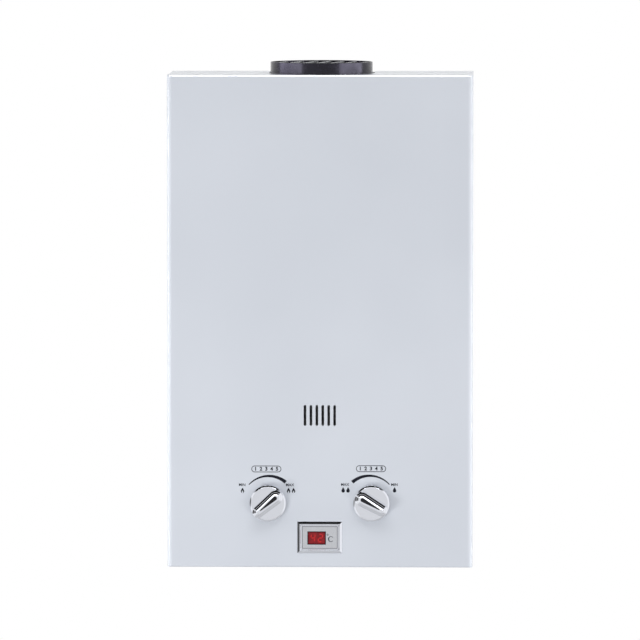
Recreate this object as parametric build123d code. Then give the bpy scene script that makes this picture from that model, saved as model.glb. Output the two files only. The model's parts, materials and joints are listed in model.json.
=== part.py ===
"""Wall-hung tankless gas water heater, in millimetres.

X runs to the right, the front faces -Y, Z runs up. The wall plane is y = 0, the casing's bottom rim
is z = 0 and x = 0 is the casing's middle. On export the whole moves down by the height of the wall
screws, so that the origin lies on the wall midway between them.
"""

import math
import os

from build123d import *

# Casing: a pressed cover that hangs on a shallow back pan
casing_width = 330.0
casing_height = 532.0
casing_depth = 150.0
cover_sheet = 0.8
side_bend_radius = 6.0
rim_radius = 2.5
wall_gap = 1.0
back_sheet = 1.0
pan_rim = 18.0
lap_clearance = 0.3
pan_corner = 2.0
bead_height = 2.5
bead_width = 14.0
bead_length = 190.0
bead_heights = (206.0, 340.0, 460.0)

# Vent slots in the cover
slot_count = 6
slot_width = 2.8
slot_length = 22.3
slot_pitch = 6.4
slot_middle_z = 164.8

# Wall fixings
keyhole_head_radius = 7.0
keyhole_slot_width = 7.0
keyhole_slot_rise = 16.0
keyhole_drop = 42.0
wall_hole_radius = 3.25
wall_hole_span = 176.0
wall_hole_z = 112.0

# Flue
flue_y = -75.0
collar_radius = 55.5
collar_wall = 1.5
collar_rise = 12.5
collar_flange_width = 140.0
collar_flange_depth = 113.0
flue_sheet = 1.2
flue_notch_gap = 2.0
flue_top_gap = 0.6
grille_bar_count = 7
grille_bar_pitch = 14.9
grille_bar_width = 2.0
grille_bar_height = 4.0
grille_drop = 0.8
grille_lean = 10.0
hood_sheet = 1.0
hood_width = 230.0
hood_depth = 124.0
hood_neck_width = 150.0
hood_slope_height = 42.0

# Heat exchanger
chamber_width = 210.0
chamber_depth = 104.0
chamber_bottom = 285.0
chamber_top = 455.0
chamber_sheet = 1.2
chamber_corner = 10.0
pipe_radius = 6.35
pipe_flat_count = 12
tube_count = 5
tube_pitch = 17.5
tube_z = 428.0
fin_count = 7
fin_sheet = 0.5
fin_bottom = 420.0
fin_top = 452.0
fin_gap = 0.1
coil_gap = 0.3
coil_bend = 14.0
coil_start_z = 290.0
coil_z = 325.0
coil_climb = 8.0
riser_offset = 16.0
hot_pipe_offset = 23.0
return_stub = 3.0
bend_steps = 2
electrode_x = 16.0
electrode_z = 294.0
electrode_radius = 3.2
electrode_plate = 10.0
electrode_reach = 14.0
electrode_wire = 1.6
thermostat_x = 60.0
thermostat_z = 400.0
thermostat_radius = 8.0
thermostat_height = 6.0

# Burner
burner_bottom = 228.0
ledge_width = 14.0
blade_count = 10
blade_pitch = 19.5
blade_thickness = 10.0
blade_top = 277.0
blade_end_gap = 8.0
manifold_depth = 14.0
manifold_height = 16.0
manifold_bottom = 232.0
manifold_inset = 7.0
manifold_gap = 3.0
nozzle_hex = 8.0
nozzle_length = 11.0

# Heights where the pipes between the valves and the chamber start and end their slants
cold_slant = (150.0, 200.0)
hot_slant = (185.0, 235.0)
gas_slant = (130.0, 190.0)
gas_bend = 18.0
sensor_z = 114.0
sensor_clip_height = 8.0
sensor_clip_wall = 2.0
sensor_length = 8.0
sensor_flats = 6.0

# Channels that carry the works on the back panel
bracket_sheet = 1.5
bracket_foot = 10.0
bracket_height = 26.0
chamber_bracket_width = 180.0
chamber_bracket_heights = (388.0, 236.0)

# Controls and the valve block
knob_x = 56.0
knob_z = 70.0
valve_y = -66.0
valve_front_y = -92.0
valve_rear_y = -40.0
valve_half_height = 24.0
valve_chamfer = 4.0
outlet_boss = 4.0
spindle_radius = 4.0
spindle_flat = 3.0
spindle_seat = 12.0
spindle_hole_radius = 9.0
running_clearance = 0.05
end_clearance = 0.3
knob_gap = 1.2
knob_radius = 19.5
knob_disc_height = 7.0
knob_socket = 14.0
grip_height = 15.0
grip_nose_radius = 7.3
grip_tail_radius = 5.6
grip_bevel = 1.9
grip_inset = 0.2
pointer_depth = 0.8
pointer_nose_radius = 1.9
pointer_nose_at = 9.0
pointer_tip_at = -12.0
gas_knob_angle = 50.0
water_knob_angle = -60.0

# Gas valve, laid out along its X axis
gas_body_left = -84.0
gas_body_right = -26.0
gas_inlet_x = -78.0
gas_outlet_x = -46.0
main_seat_x = -56.0
chamber_bore = 9.0
bore_flat_count = 16
port_radius = 4.5
rod_radius = 2.5
rod_travel = 4.0
seat_gap = 0.2
plunger_radius = 8.0
plunger_thickness = 3.0
stem_end_x = -44.0
spring_radius = 6.0
spring_wire = 1.2
spring_turns = 4
spring_steps = 8
solenoid_side = 26.0
solenoid_length = 28.0

# Water valve and its diaphragm
water_cover_left = 8.0
water_cover_thickness = 10.0
water_flange_side = 50.0
water_flange_corner = 12.0
water_flange_thickness = 7.8
water_body_right = 80.0
water_inlet_x = 56.0
water_outlet_x = 66.0
diaphragm_thickness = 1.2
plate_radius = 15.0
plate_thickness = 1.5
plate_room = 2.0
drain_x = 70.0
drain_y = -80.0
drain_radius = 3.0

# Micro switch and its lever
switch_left = -14.0
switch_width = 20.0
switch_depth = 10.0
switch_height = 10.0
lever_x = -6.0
lever_drop = 2.0
lever_pin_radius = 0.8
lever_tab = 7.3
lever_arm = 9.0
rod_nut_left = -5.0
rod_nut_thickness = 3.0
rod_nut_flats = 11.0

# Pipe ends, half-inch pipe thread
fitting_radius = 10.48
fitting_bore = 7.5
fitting_hex = 24.0
fitting_hex_height = 10.0
fitting_end_z = 1.5
fitting_seat = 2.0
filter_length = 16.0
filter_wall = 0.8
filter_floor = 1.0
hot_outlet_x = -125.0
pipe_notch_half = 20.0
pipe_notch_corner = 8.0

# Battery box under the right-hand corner, for two size D cells
cell_radius = 17.1
cell_flat_count = 20
cell_length = 61.5
cell_nub_radius = 4.5
cell_nub = 1.5
cell_clearance = 0.3
cell_floor = 8.0
contact_room = 3.0
contact_sheet = 0.6
contact_half_width = 6.0
contact_half_height = 8.0
contact_bump_half = 3.0
box_side_gap = 12.5
box_wall = 1.5
door_thickness = 2.0
door_bottom = 0.3
door_gap = 0.8
hinge_radius = 1.6
hinge_pin_radius = 0.75
hinge_y = -4.0
hinge_step = 4.4
hinge_ear = (3.0, 2.5)

# Igniter and display
igniter_side_gap = 10.0
igniter_width = 48.0
igniter_depth = 34.0
igniter_bottom = 100.0
igniter_height = 90.0
display_z = 32.6
bezel_width = 48.3
bezel_height = 34.0
bezel_thickness = 2.6
bezel_bevel = 2.0
panel_width = 38.4
panel_height = 26.4
panel_thickness = 1.4
lens_width = 19.2
lens_height = 13.6
lens_x = -3.4
lens_z = 32.0
display_depth = 18.0
display_fit = 0.1

# Cover screws, put in from below
cover_screw_inset = 7.0
cover_screw_y = -9.0
screw_radius = 1.9
screw_hole = 2.0
screw_head = 7.0
screw_head_height = 1.8
screw_length = 8.0

# Derived planes
half_width = casing_width / 2
front_y = -casing_depth
cover_inner_y = front_y + cover_sheet
panel_y = -back_sheet
pan_half_width = half_width - cover_sheet - lap_clearance
pan_bottom = cover_sheet + lap_clearance
pan_top = casing_height - cover_sheet
keyhole_z = casing_height - keyhole_drop
cover_screw_x = half_width - cover_screw_inset
igniter_left = igniter_side_gap - half_width
hood_top = casing_height - cover_sheet - flue_top_gap - flue_sheet
collar_inner = collar_radius - collar_wall
collar_top = casing_height + collar_rise
chamber_half = chamber_width / 2
chamber_front = flue_y - chamber_depth / 2
chamber_rear = flue_y + chamber_depth / 2
manifold_y = chamber_front - manifold_gap - manifold_depth / 2
blade_bottom = burner_bottom + chamber_sheet
nozzle_z = manifold_bottom + manifold_height / 2
coil_offset = pipe_radius + coil_gap
knob_back_y = front_y - knob_gap
grip_top = knob_disc_height + grip_height
valve_bottom = knob_z - valve_half_height
valve_top = knob_z + valve_half_height
spindle_end_y = valve_front_y + spindle_seat
water_cover_right = water_cover_left + water_cover_thickness
water_flange_left = water_cover_right + diaphragm_thickness
water_body_left = water_flange_left + water_flange_thickness
switch_top = valve_top - bracket_sheet
switch_bottom = switch_top - switch_height
lever_z = switch_bottom - lever_drop
box_right = half_width - box_side_gap
box_left = box_right - cell_length - 2 * (contact_room + box_wall)
box_depth = 4 * cell_radius + 3 * cell_clearance + 2 * box_wall
box_bottom = door_bottom + door_thickness + box_wall
box_top = cell_floor + 2 * cell_radius + cell_clearance + box_wall
hinge_z = door_bottom + hinge_radius
display_half_width = bezel_width / 2 - bezel_bevel
display_half_height = bezel_height / 2 - bezel_bevel


def block(x, y, z):
    """A box between two corners; each axis is a pair, lowest value first."""
    size = (x[1] - x[0], y[1] - y[0], z[1] - z[0])
    return Pos(x[0], y[0], z[0]) * Box(*size, align=(Align.MIN, Align.MIN, Align.MIN))


def bar(start, end, radius):
    """A round bar between two points."""
    run = Vector(*end) - Vector(*start)
    plane = Plane(origin=start, z_dir=run)
    return plane * Cylinder(radius, run.length, align=(Align.CENTER, Align.CENTER, Align.MIN))


def flat_bar(start, end, radius, flats=pipe_flat_count):
    """A bar with flats all round, whose corners lie at the radius."""
    run = Vector(*end) - Vector(*start)
    return extrude(Plane(origin=start, z_dir=run) * RegularPolygon(radius, flats), run.length)


def hexagon(start, end, across_flats):
    """A hexagonal bar between two points."""
    return flat_bar(start, end, across_flats / math.sqrt(3), 6)


def drawn_along_x(points, x):
    """An outline of (Y, Z) points pushed between two planes of X."""
    plane = Plane(origin=(x[0], 0, 0), x_dir=(0, 1, 0), z_dir=(1, 0, 0))
    return extrude(plane * make_face(Polyline(*points, close=True)), x[1] - x[0])


def drawn_along_y(points, y):
    """An outline of (X, Z) points pushed between two planes of Y."""
    plane = Plane(origin=(0, y[1], 0), x_dir=(1, 0, 0), z_dir=(0, -1, 0))
    return extrude(plane * make_face(Polyline(*points, close=True)), y[1] - y[0])


def rounded_route(points, bend):
    """The points of a route whose corners are cut into short chords of an arc."""
    stops = [Vector(*p) for p in points]
    route = [stops[0]]
    for before, corner, after in zip(stops, stops[1:], stops[2:]):
        into = (corner - before).normalized()
        out = (after - corner).normalized()
        turn = math.radians(into.get_angle(out))
        side = into.cross(out).normalized()
        inward = side.cross(into)
        centre = corner - into * bend * math.tan(turn / 2) + inward * bend
        for step in range(bend_steps + 1):
            angle = turn * step / bend_steps
            route.append(centre - inward * bend * math.cos(angle) + into * bend * math.sin(angle))
    return route + [stops[-1]]


def pipe(route):
    """A pipe along straight runs, mitred where they meet."""
    section = Plane(origin=route[0], z_dir=Vector(*route[1]) - Vector(*route[0]))
    outline = section * RegularPolygon(pipe_radius, pipe_flat_count)
    return sweep(outline, path=Polyline(*route), transition=Transition.RIGHT)


def channel(x, z, front):
    """A top-hat channel along X that stands on the back panel and reaches forward."""
    outside = block(x, (front, panel_y), z)
    inside = block(x, (front + bracket_sheet, panel_y), (z[0] + bracket_sheet, z[1] - bracket_sheet))
    feet = block(x, (panel_y - bracket_sheet, panel_y), (z[0] - bracket_foot, z[1] + bracket_foot))
    return outside + feet - inside


def cover_form(inset):
    """The cover's outer form, or its hollow when inset by the sheet, which runs out at the wall.

    The sheet folds round the sides on one radius and over the top and bottom on a smaller one.
    """
    rear = -wall_gap if inset == 0 else 0
    x = (inset - half_width, half_width - inset)
    box = block(x, (front_y + inset, rear), (inset, casing_height - inset))
    sides = fillet(box.edges().filter_by(Axis.Z).sort_by(Axis.Y)[:2], side_bend_radius - inset)
    rims = fillet(box.edges().filter_by(Axis.X).sort_by(Axis.Y)[:2], rim_radius - inset)
    return sides & rims


def vent_slots():
    outline = chamfer(Rectangle(slot_width, slot_length).vertices(), slot_width * 0.3)
    plane = Plane(origin=(0, cover_inner_y + 1, slot_middle_z), x_dir=(1, 0, 0), z_dir=(0, -1, 0))
    first = -slot_pitch * (slot_count - 1) / 2
    return [extrude(plane * Pos(first + k * slot_pitch, 0) * outline, 3) for k in range(slot_count)]


def pipe_notch(x):
    """An opening in the cover's bottom, open to the rear, that clears one pipe end."""
    notch = block((x - pipe_notch_half, x + pipe_notch_half), (valve_y - pipe_notch_half, 1), (-1, 2))
    return chamfer(notch.edges().filter_by(Axis.Z).sort_by(Axis.Y)[:2], pipe_notch_corner)


def flue_notch():
    """A slot in the cover's top, open to the rear, so the cover lifts off past the collar."""
    radius = collar_radius + flue_notch_gap
    z = (casing_height - 2 * cover_sheet, casing_height + 1)
    return bar((0, flue_y, z[0]), (0, flue_y, z[1]), radius) + block((-radius, radius), (flue_y, 1), z)


def cover_screw_hole(side):
    x = side * cover_screw_x
    return flat_bar((x, cover_screw_y, -1), (x, cover_screw_y, pan_bottom + 2), screw_hole)


def box_notch(front, rear):
    """The room that the battery box takes from a bottom sheet."""
    return block((box_left - door_gap, box_right + door_gap), (front, rear), (-1, pan_bottom + 2))


def make_front_cover():
    cover = cover_form(0) - cover_form(cover_sheet)
    cuts = vent_slots() + [flue_notch(), box_notch(panel_y - box_depth - door_gap, 1)]
    for side in (-1, 1):
        x = side * knob_x
        hole = ((x, cover_inner_y + 1, knob_z), (x, front_y - 1, knob_z))
        cuts.append(flat_bar(*hole, spindle_hole_radius))
        cuts.append(cover_screw_hole(side))
    x, z = display_half_width + display_fit, display_half_height + display_fit
    cuts.append(block((-x, x), (front_y - 1, cover_inner_y + 1), (display_z - z, display_z + z)))
    cuts += [pipe_notch(x) for x in (hot_outlet_x, gas_inlet_x, water_inlet_x)]
    return cover - cuts


def keyhole():
    """Hanging hole: a round entry with a narrow slot above it."""
    top = keyhole_z + keyhole_slot_rise
    half = keyhole_slot_width / 2
    slot = block((-half, half), (panel_y - 1, 1), (keyhole_z, top))
    entry = bar((0, 1, keyhole_z), (0, panel_y - 1, keyhole_z), keyhole_head_radius)
    return entry + slot + bar((0, 1, top), (0, panel_y - 1, top), half)


def stiffening_bead(z):
    """A pressed bead across the panel; the same form shifted back by the sheet is its hollow."""
    low, high = z - bead_width / 2, z + bead_width / 2
    face = panel_y - bead_height
    outline = [(panel_y, low), (face, low + bead_height), (face, high - bead_height), (panel_y, high)]
    return drawn_along_x(outline, (-bead_length / 2, bead_length / 2))


def make_back_panel():
    plate = block((-pan_half_width, pan_half_width), (-pan_rim, 0), (pan_bottom, pan_top))
    plate = chamfer(plate.edges().filter_by(Axis.Y), pan_corner)
    inner_x = pan_half_width - back_sheet
    inner_z = (pan_bottom + back_sheet, pan_top - back_sheet)
    plate -= block((-inner_x, inner_x), (-pan_rim - 1, panel_y), inner_z)
    for z in bead_heights:
        bead = stiffening_bead(z)
        plate = plate + bead - Pos(0, back_sheet, 0) * bead
    cuts = [keyhole(), box_notch(-pan_rim - 1, panel_y)]
    for side in (-1, 1):
        x = side * wall_hole_span / 2
        cuts.append(bar((x, 1, wall_hole_z), (x, panel_y - 1, wall_hole_z), wall_hole_radius))
        cuts.append(cover_screw_hole(side))
    return plate - cuts


def hood_form(inset):
    """The draught hood's outer form, or its hollow: wide over the chamber, narrow at the top."""
    foot, neck = hood_width / 2 - inset, hood_neck_width / 2 - inset
    knee = chamber_top + hood_slope_height
    outline = [(-foot, chamber_top), (-neck, knee), (-neck, hood_top - inset)]
    outline += [(-x, z) for x, z in reversed(outline)]
    reach = hood_depth / 2 - inset
    return drawn_along_y(outline, (flue_y - reach, flue_y + reach))


def make_flue_hood():
    """The hood's top is a frame of folded lips that carries the collar's flange."""
    y = (flue_y - collar_inner, flue_y + collar_inner)
    opening = block((-collar_inner, collar_inner), y, (hood_top - 2, hood_top + 1))
    return hood_form(0) - hood_form(hood_sheet) - opening


def make_flue_collar():
    half_x, half_y = collar_flange_width / 2, collar_flange_depth / 2
    flange = block((-half_x, half_x), (flue_y - half_y, flue_y + half_y), (hood_top, hood_top + flue_sheet))
    spigot = bar((0, flue_y, hood_top), (0, flue_y, collar_top), collar_radius)
    return flange + spigot - bar((0, flue_y, hood_top - 1), (0, flue_y, collar_top + 1), collar_inner)


def make_flue_grille():
    """Leaning bars across the collar's mouth, carried on two cross bars beneath."""
    top = collar_top - grille_drop
    low = top - grille_bar_height
    half = grille_bar_width / 2
    reach = (-collar_radius, collar_radius)
    bars = []
    for k in range(grille_bar_count):
        x = (k - (grille_bar_count - 1) / 2) * grille_bar_pitch
        bars.append(block((x - half, x + half), reach, (low, top)))
    for y in (-collar_radius / 2, collar_radius / 2):
        bars.append(block(reach, (y - half, y + half), (low - grille_bar_width, low)))
    grid = bars[0].fuse(*bars[1:])
    grid = grid & bar((0, 0, low - grille_bar_width), (0, 0, top), collar_inner)
    return Pos(0, flue_y, 0) * Rot(0, 0, -grille_lean) * grid


def make_exchanger_shell():
    """A rounded copper duct with a flange round its top and slots for the electrodes."""
    base = Plane(origin=(0, flue_y, chamber_bottom))
    outside = RectangleRounded(chamber_width, chamber_depth, chamber_corner)
    inside = RectangleRounded(
        chamber_width - 2 * chamber_sheet, chamber_depth - 2 * chamber_sheet, chamber_corner - chamber_sheet
    )
    flange = Pos(0, flue_y, chamber_top - chamber_sheet) * Box(
        hood_width, hood_depth, chamber_sheet, align=(Align.CENTER, Align.CENTER, Align.MIN)
    )
    height = chamber_top - chamber_bottom
    shell = extrude(base * outside, height) + flange - extrude(base * inside, height + 1)
    for side in (-1, 1):
        x = side * electrode_x
        slot = (x - electrode_radius, x + electrode_radius)
        z = (electrode_z - electrode_radius, electrode_z + electrode_radius)
        shell -= block(slot, (chamber_front - 1, chamber_front + 2), z)
    return shell


def tube_depths():
    """The Y of each cross tube, front to rear."""
    return [flue_y + (k - (tube_count - 1) / 2) * tube_pitch for k in range(tube_count)]


def make_exchanger_tubes():
    reach = chamber_half - chamber_sheet
    return Compound(children=[pipe([(-reach, y, tube_z), (reach, y, tube_z)]) for y in tube_depths()])


def make_exchanger_fins():
    """Comb plates pushed down over the cross tubes."""
    reach = chamber_depth / 2 - chamber_sheet - fin_gap
    half, roof = pipe_radius + fin_gap, tube_z + pipe_radius
    outline = [(flue_y - reach, fin_top), (flue_y - reach, fin_bottom)]
    for y in tube_depths():
        outline += [(y - half, fin_bottom), (y - half, roof), (y + half, roof), (y + half, fin_bottom)]
    outline += [(flue_y + reach, fin_bottom), (flue_y + reach, fin_top)]
    spread = chamber_width - 2 * chamber_corner - chamber_sheet
    fins = []
    for k in range(fin_count):
        x = spread * (k / (fin_count - 1) - 0.5)
        fins.append(drawn_along_x(outline, (x - fin_sheet / 2, x + fin_sheet / 2)))
    return Compound(children=fins)


def return_bend(side, y):
    """A half-turn from one cross tube to the next behind it, outside the shell's wall."""
    x = side * chamber_half
    centre_x, centre_y = x + side * return_stub, y + tube_pitch / 2
    chords = bend_steps + 1
    route = [(x, y, tube_z)]
    for step in range(chords + 1):
        angle = math.pi * (step / chords - 0.5)
        reach = tube_pitch / 2
        route.append((centre_x + side * reach * math.cos(angle), centre_y + reach * math.sin(angle), tube_z))
    return pipe(route + [(x, y + tube_pitch, tube_z)])


def make_return_bends():
    """Half-turns by turns on the left and on the right."""
    bends = [return_bend(1 if k % 2 else -1, y) for k, y in enumerate(tube_depths()[:-1])]
    return Compound(children=bends)


def make_exchanger_coil():
    """One turn of pipe round the shell, climbing from the feed to the first cross tube."""
    x = chamber_half + coil_offset
    front, rear = chamber_front - coil_offset, chamber_rear + coil_offset
    riser, first_tube = chamber_half + riser_offset, tube_depths()[0]
    stops = [
        (x, valve_y, coil_start_z),
        (x, valve_y, coil_z),
        (x, front, coil_z + coil_climb / 4),
        (-x, front, coil_z + coil_climb),
        (-x, rear, coil_z + 2 * coil_climb),
        (x, rear, coil_z + 3 * coil_climb),
        (riser, first_tube, coil_z + 4 * coil_climb),
        (riser, first_tube, tube_z),
        (chamber_half, first_tube, tube_z),
    ]
    return pipe(rounded_route(stops, coil_bend))


def make_cold_feed_pipe():
    x = chamber_half + coil_offset
    stops = [
        (water_outlet_x, valve_y, valve_top + outlet_boss),
        (water_outlet_x, valve_y, cold_slant[0]),
        (x, valve_y, cold_slant[1]),
        (x, valve_y, coil_start_z),
    ]
    return pipe(rounded_route(stops, coil_bend))


def make_hot_outlet_pipe():
    last_tube = tube_depths()[-1]
    x = -chamber_half - hot_pipe_offset
    stops = [
        (-chamber_half, last_tube, tube_z),
        (x, last_tube, tube_z),
        (x, last_tube, hot_slant[1]),
        (hot_outlet_x, valve_y, hot_slant[0]),
        (hot_outlet_x, valve_y, valve_bottom),
    ]
    return pipe(rounded_route(stops, coil_bend))


def make_gas_riser():
    stops = [
        (gas_outlet_x, valve_y, valve_top + outlet_boss),
        (gas_outlet_x, valve_y, gas_slant[0]),
        (gas_outlet_x, manifold_y, gas_slant[1]),
        (gas_outlet_x, manifold_y, manifold_bottom - outlet_boss),
    ]
    return pipe(rounded_route(stops, gas_bend))


def make_burner_frame():
    """A folded steel box under the shell, with a ledge front and rear for the blades."""
    y = (chamber_front, chamber_rear)
    frame = block((-chamber_half, chamber_half), y, (burner_bottom, chamber_bottom))
    inner_x = chamber_half - chamber_sheet
    inner_y = (y[0] + chamber_sheet, y[1] - chamber_sheet)
    frame -= block((-inner_x, inner_x), inner_y, (blade_bottom, chamber_bottom + 1))
    ledges = (inner_y[0] + ledge_width, inner_y[1] - ledge_width)
    frame -= block((-inner_x, inner_x), ledges, (burner_bottom - 1, chamber_bottom))
    half = blade_pitch * (blade_count - 1) / 2 + nozzle_hex
    jet_z = (nozzle_z - nozzle_hex, nozzle_z + nozzle_hex)
    return frame - block((-half, half), (y[0] - 1, inner_y[0]), jet_z)


def blade_places():
    return [(k - (blade_count - 1) / 2) * blade_pitch for k in range(blade_count)]


def make_burner_blades():
    """Pressed blades that burn along the slot in their top."""
    front, rear = chamber_front + chamber_sheet + blade_end_gap, chamber_rear - blade_end_gap
    outline = [
        (front, blade_bottom),
        (front, nozzle_z + 10),
        (front + 8, nozzle_z + 22),
        (front + 8, blade_top),
        (rear, blade_top),
        (rear, blade_bottom + 14),
        (rear - 14, blade_bottom),
    ]
    half = blade_thickness / 2
    blade = drawn_along_x(outline, (-half, half))
    blade -= block((-0.8, 0.8), (front + 7, rear + 1), (blade_top - 4, blade_top + 1))
    return Compound(children=[Pos(x, 0, 0) * blade for x in blade_places()])


def make_gas_manifold():
    """A rail in front of the frame, on two side lugs, with its inlet boss underneath."""
    y = (manifold_y - manifold_depth / 2, manifold_y + manifold_depth / 2)
    z = (manifold_bottom, manifold_bottom + manifold_height)
    end = chamber_half - manifold_inset
    rail = chamfer(block((-end, end), y, z).edges().filter_by(Axis.X), 2)
    for x in ((-end, -end + manifold_gap), (end - manifold_gap, end)):
        rail += block(x, (y[1] - 1, chamber_front), (z[0] + 2, z[1] - 2))
    boss = (gas_outlet_x, manifold_y, z[0] - outlet_boss)
    return rail + flat_bar(boss, (gas_outlet_x, manifold_y, z[0] + 1), pipe_radius + 0.5)


def make_gas_nozzles():
    root = manifold_y + manifold_depth / 2
    tip = root + nozzle_length
    jets = [hexagon((x, root, nozzle_z), (x, tip, nozzle_z), nozzle_hex) for x in blade_places()]
    return Compound(children=jets)


def make_electrode(x):
    """A ceramic rod on a small plate outside the shell, with its wire tip over the flames."""
    start, end = chamber_front - electrode_reach, chamber_front + electrode_reach
    plate_y = (chamber_front - chamber_sheet, chamber_front)
    half, wire = electrode_plate / 2, electrode_wire / 2
    rod = flat_bar((x, start, electrode_z), (x, end, electrode_z), electrode_radius)
    plate = block((x - half, x + half), plate_y, (electrode_z - half, electrode_z + half))
    tip_y = (end - 1, end + electrode_reach)
    return rod + plate + block((x - wire, x + wire), tip_y, (electrode_z - wire, electrode_z + wire))


def make_overheat_thermostat():
    start = (thermostat_x, chamber_front, thermostat_z)
    end = (thermostat_x, chamber_front - thermostat_height, thermostat_z)
    return flat_bar(start, end, thermostat_radius)


def make_temperature_sensor():
    """A clip round the hot pipe that holds the probe for the display."""
    x, y = hot_outlet_x, valve_y
    half = pipe_radius + sensor_clip_wall
    z = (sensor_z - sensor_clip_height / 2, sensor_z + sensor_clip_height / 2)
    clip = block((x - half, x + half), (y - half, y + half), z)
    clip -= flat_bar((x, y, z[1] + 1), (x, y, z[0] - 1), pipe_radius + running_clearance)
    return clip + hexagon((x, y - half, sensor_z), (x, y - half - sensor_length, sensor_z), sensor_flats)


def make_chamber_bracket(z):
    half = chamber_bracket_width / 2
    return channel((-half, half), (z, z + bracket_height), chamber_rear)


def make_valve_bracket():
    """The channel behind both valves, with a tongue over the rod for the micro switch."""
    bracket = channel((gas_body_left, water_body_right), (valve_bottom, valve_top), valve_rear_y)
    tongue_y = (valve_y - switch_depth / 2 - 3, valve_rear_y)
    return bracket + block((switch_left - 2, switch_left + switch_width), tongue_y, (switch_top, valve_top))


def valve_casting(x):
    """A chamfered block between the bracket and the front of the valve."""
    casting = block(x, (valve_front_y, valve_rear_y), (valve_bottom, valve_top))
    return chamfer(casting.edges().filter_by(Axis.X), valve_chamfer)


def outlet_stub(x):
    """A short boss on top of a valve, where its outlet pipe starts."""
    return flat_bar((x, valve_y, valve_top - 1), (x, valve_y, valve_top + outlet_boss), pipe_radius + 2)


def spindle_bore(x):
    start = (x, valve_front_y - 1, knob_z)
    return bar(start, (x, spindle_end_y, knob_z), spindle_radius + running_clearance)


def make_gas_valve_body():
    """Casting with a chamber for the plunger, its seat and the port that the rod runs in."""
    body = valve_casting((gas_body_left, gas_body_right)) + outlet_stub(gas_outlet_x)
    chamber = ((gas_body_left - 1, valve_y, knob_z), (main_seat_x, valve_y, knob_z))
    body -= flat_bar(*chamber, chamber_bore, bore_flat_count)
    body -= flat_bar((main_seat_x, valve_y, knob_z), (gas_body_right + 1, valve_y, knob_z), port_radius)
    return body - spindle_bore(-knob_x)


def make_gas_gland():
    """Cap on the valve's end that guides the push rod."""
    start, end = (gas_body_right, valve_y, knob_z), (gas_body_right + 4, valve_y, knob_z)
    return hexagon(start, end, fitting_hex) - bar(start, end, rod_radius + running_clearance)


def make_gas_valve_plunger():
    face = main_seat_x - seat_gap
    ends = ((face - plunger_thickness, valve_y, knob_z), (face, valve_y, knob_z))
    disc = flat_bar(*ends, plunger_radius, bore_flat_count)
    return disc + flat_bar((face - 1, valve_y, knob_z), (stem_end_x, valve_y, knob_z), rod_radius)


def make_return_spring():
    """A helix of square wire that pushes the plunger on to its seat."""
    end = main_seat_x - 2 * seat_gap - plunger_thickness - spring_wire / 2
    start = gas_body_left + seat_gap + spring_wire / 2
    count = spring_turns * spring_steps
    route = []
    for k in range(count + 1):
        angle = 2 * math.pi * k / spring_steps
        x = start + (end - start) * k / count
        route.append((x, valve_y + spring_radius * math.cos(angle), knob_z + spring_radius * math.sin(angle)))
    run = Vector(*route[1]) - Vector(*route[0])
    section = Plane(origin=route[0], x_dir=(1, 0, 0), z_dir=run) * Rectangle(spring_wire, spring_wire)
    return sweep(section, path=Polyline(*route), transition=Transition.RIGHT)


def make_solenoid_valve():
    """A coil between the plates of its yoke, on the end of the gas valve."""
    side, left = solenoid_side / 2, gas_body_left - solenoid_length
    y, z = (valve_y - side, valve_y + side), (knob_z - side, knob_z + side)
    yoke = block((left, gas_body_left), y, z)
    for cut in (((y[0] - 1, y[0] + 2), z), ((y[1] - 2, y[1] + 1), z), (y, (z[1] - 2, z[1] + 1))):
        yoke -= block((left + 2, gas_body_left - 3), cut[0], cut[1])
    return yoke


def d_section(grow):
    """A round shaft's outline with one flat on top."""
    flat = spindle_flat + grow
    radius = spindle_radius + grow
    return Circle(radius) - Pos(0, flat + radius) * Rectangle(4 * radius, 2 * radius)


def shaft_plane(x, y):
    return Plane(origin=(x, y, knob_z), x_dir=(1, 0, 0), z_dir=(0, -1, 0))


def make_spindle(x):
    """A shaft with one flat, from the valve into the knob."""
    start = spindle_end_y - end_clearance
    end = knob_back_y - knob_socket + end_clearance
    return extrude(shaft_plane(x, start) * d_section(0), start - end)


def tapered_slot(nose_radius, nose_at, tail_radius, tail_at):
    """The outline round two circles on the Y axis, the nose above and the tail below."""
    lean = math.asin((nose_radius - tail_radius) / (nose_at - tail_at))
    side, rise = math.cos(lean), math.sin(lean)
    nose = (nose_radius * side, nose_at + nose_radius * rise)
    tail = (tail_radius * side, tail_at + tail_radius * rise)
    outline = Curve() + [
        ThreePointArc(nose, (0, nose_at + nose_radius), (-nose[0], nose[1])),
        Line((-nose[0], nose[1]), (-tail[0], tail[1])),
        ThreePointArc((-tail[0], tail[1]), (0, tail_at - tail_radius), tail),
        Line(tail, nose),
    ]
    return make_face(outline)


def teardrop():
    """The pointer's outline: a round nose that runs out to a sharp tip."""
    lean = math.asin(pointer_nose_radius / (pointer_nose_at - pointer_tip_at))
    x = pointer_nose_radius * math.cos(lean)
    y = pointer_nose_at + pointer_nose_radius * math.sin(lean)
    nose = ThreePointArc((x, y), (0, pointer_nose_at + pointer_nose_radius), (-x, y))
    return make_face(Curve() + [nose, Line((-x, y), (0, pointer_tip_at)), Line((0, pointer_tip_at), (x, y))])


def knob_plane(x, angle, height):
    """A plane across the knob, its Y axis along the pointer, turned clockwise from up by the angle."""
    lean = math.radians(angle)
    origin = (x, knob_back_y - height, knob_z)
    return Plane(origin=origin, x_dir=(math.cos(lean), 0, -math.sin(lean)), z_dir=(0, -1, 0))


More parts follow.
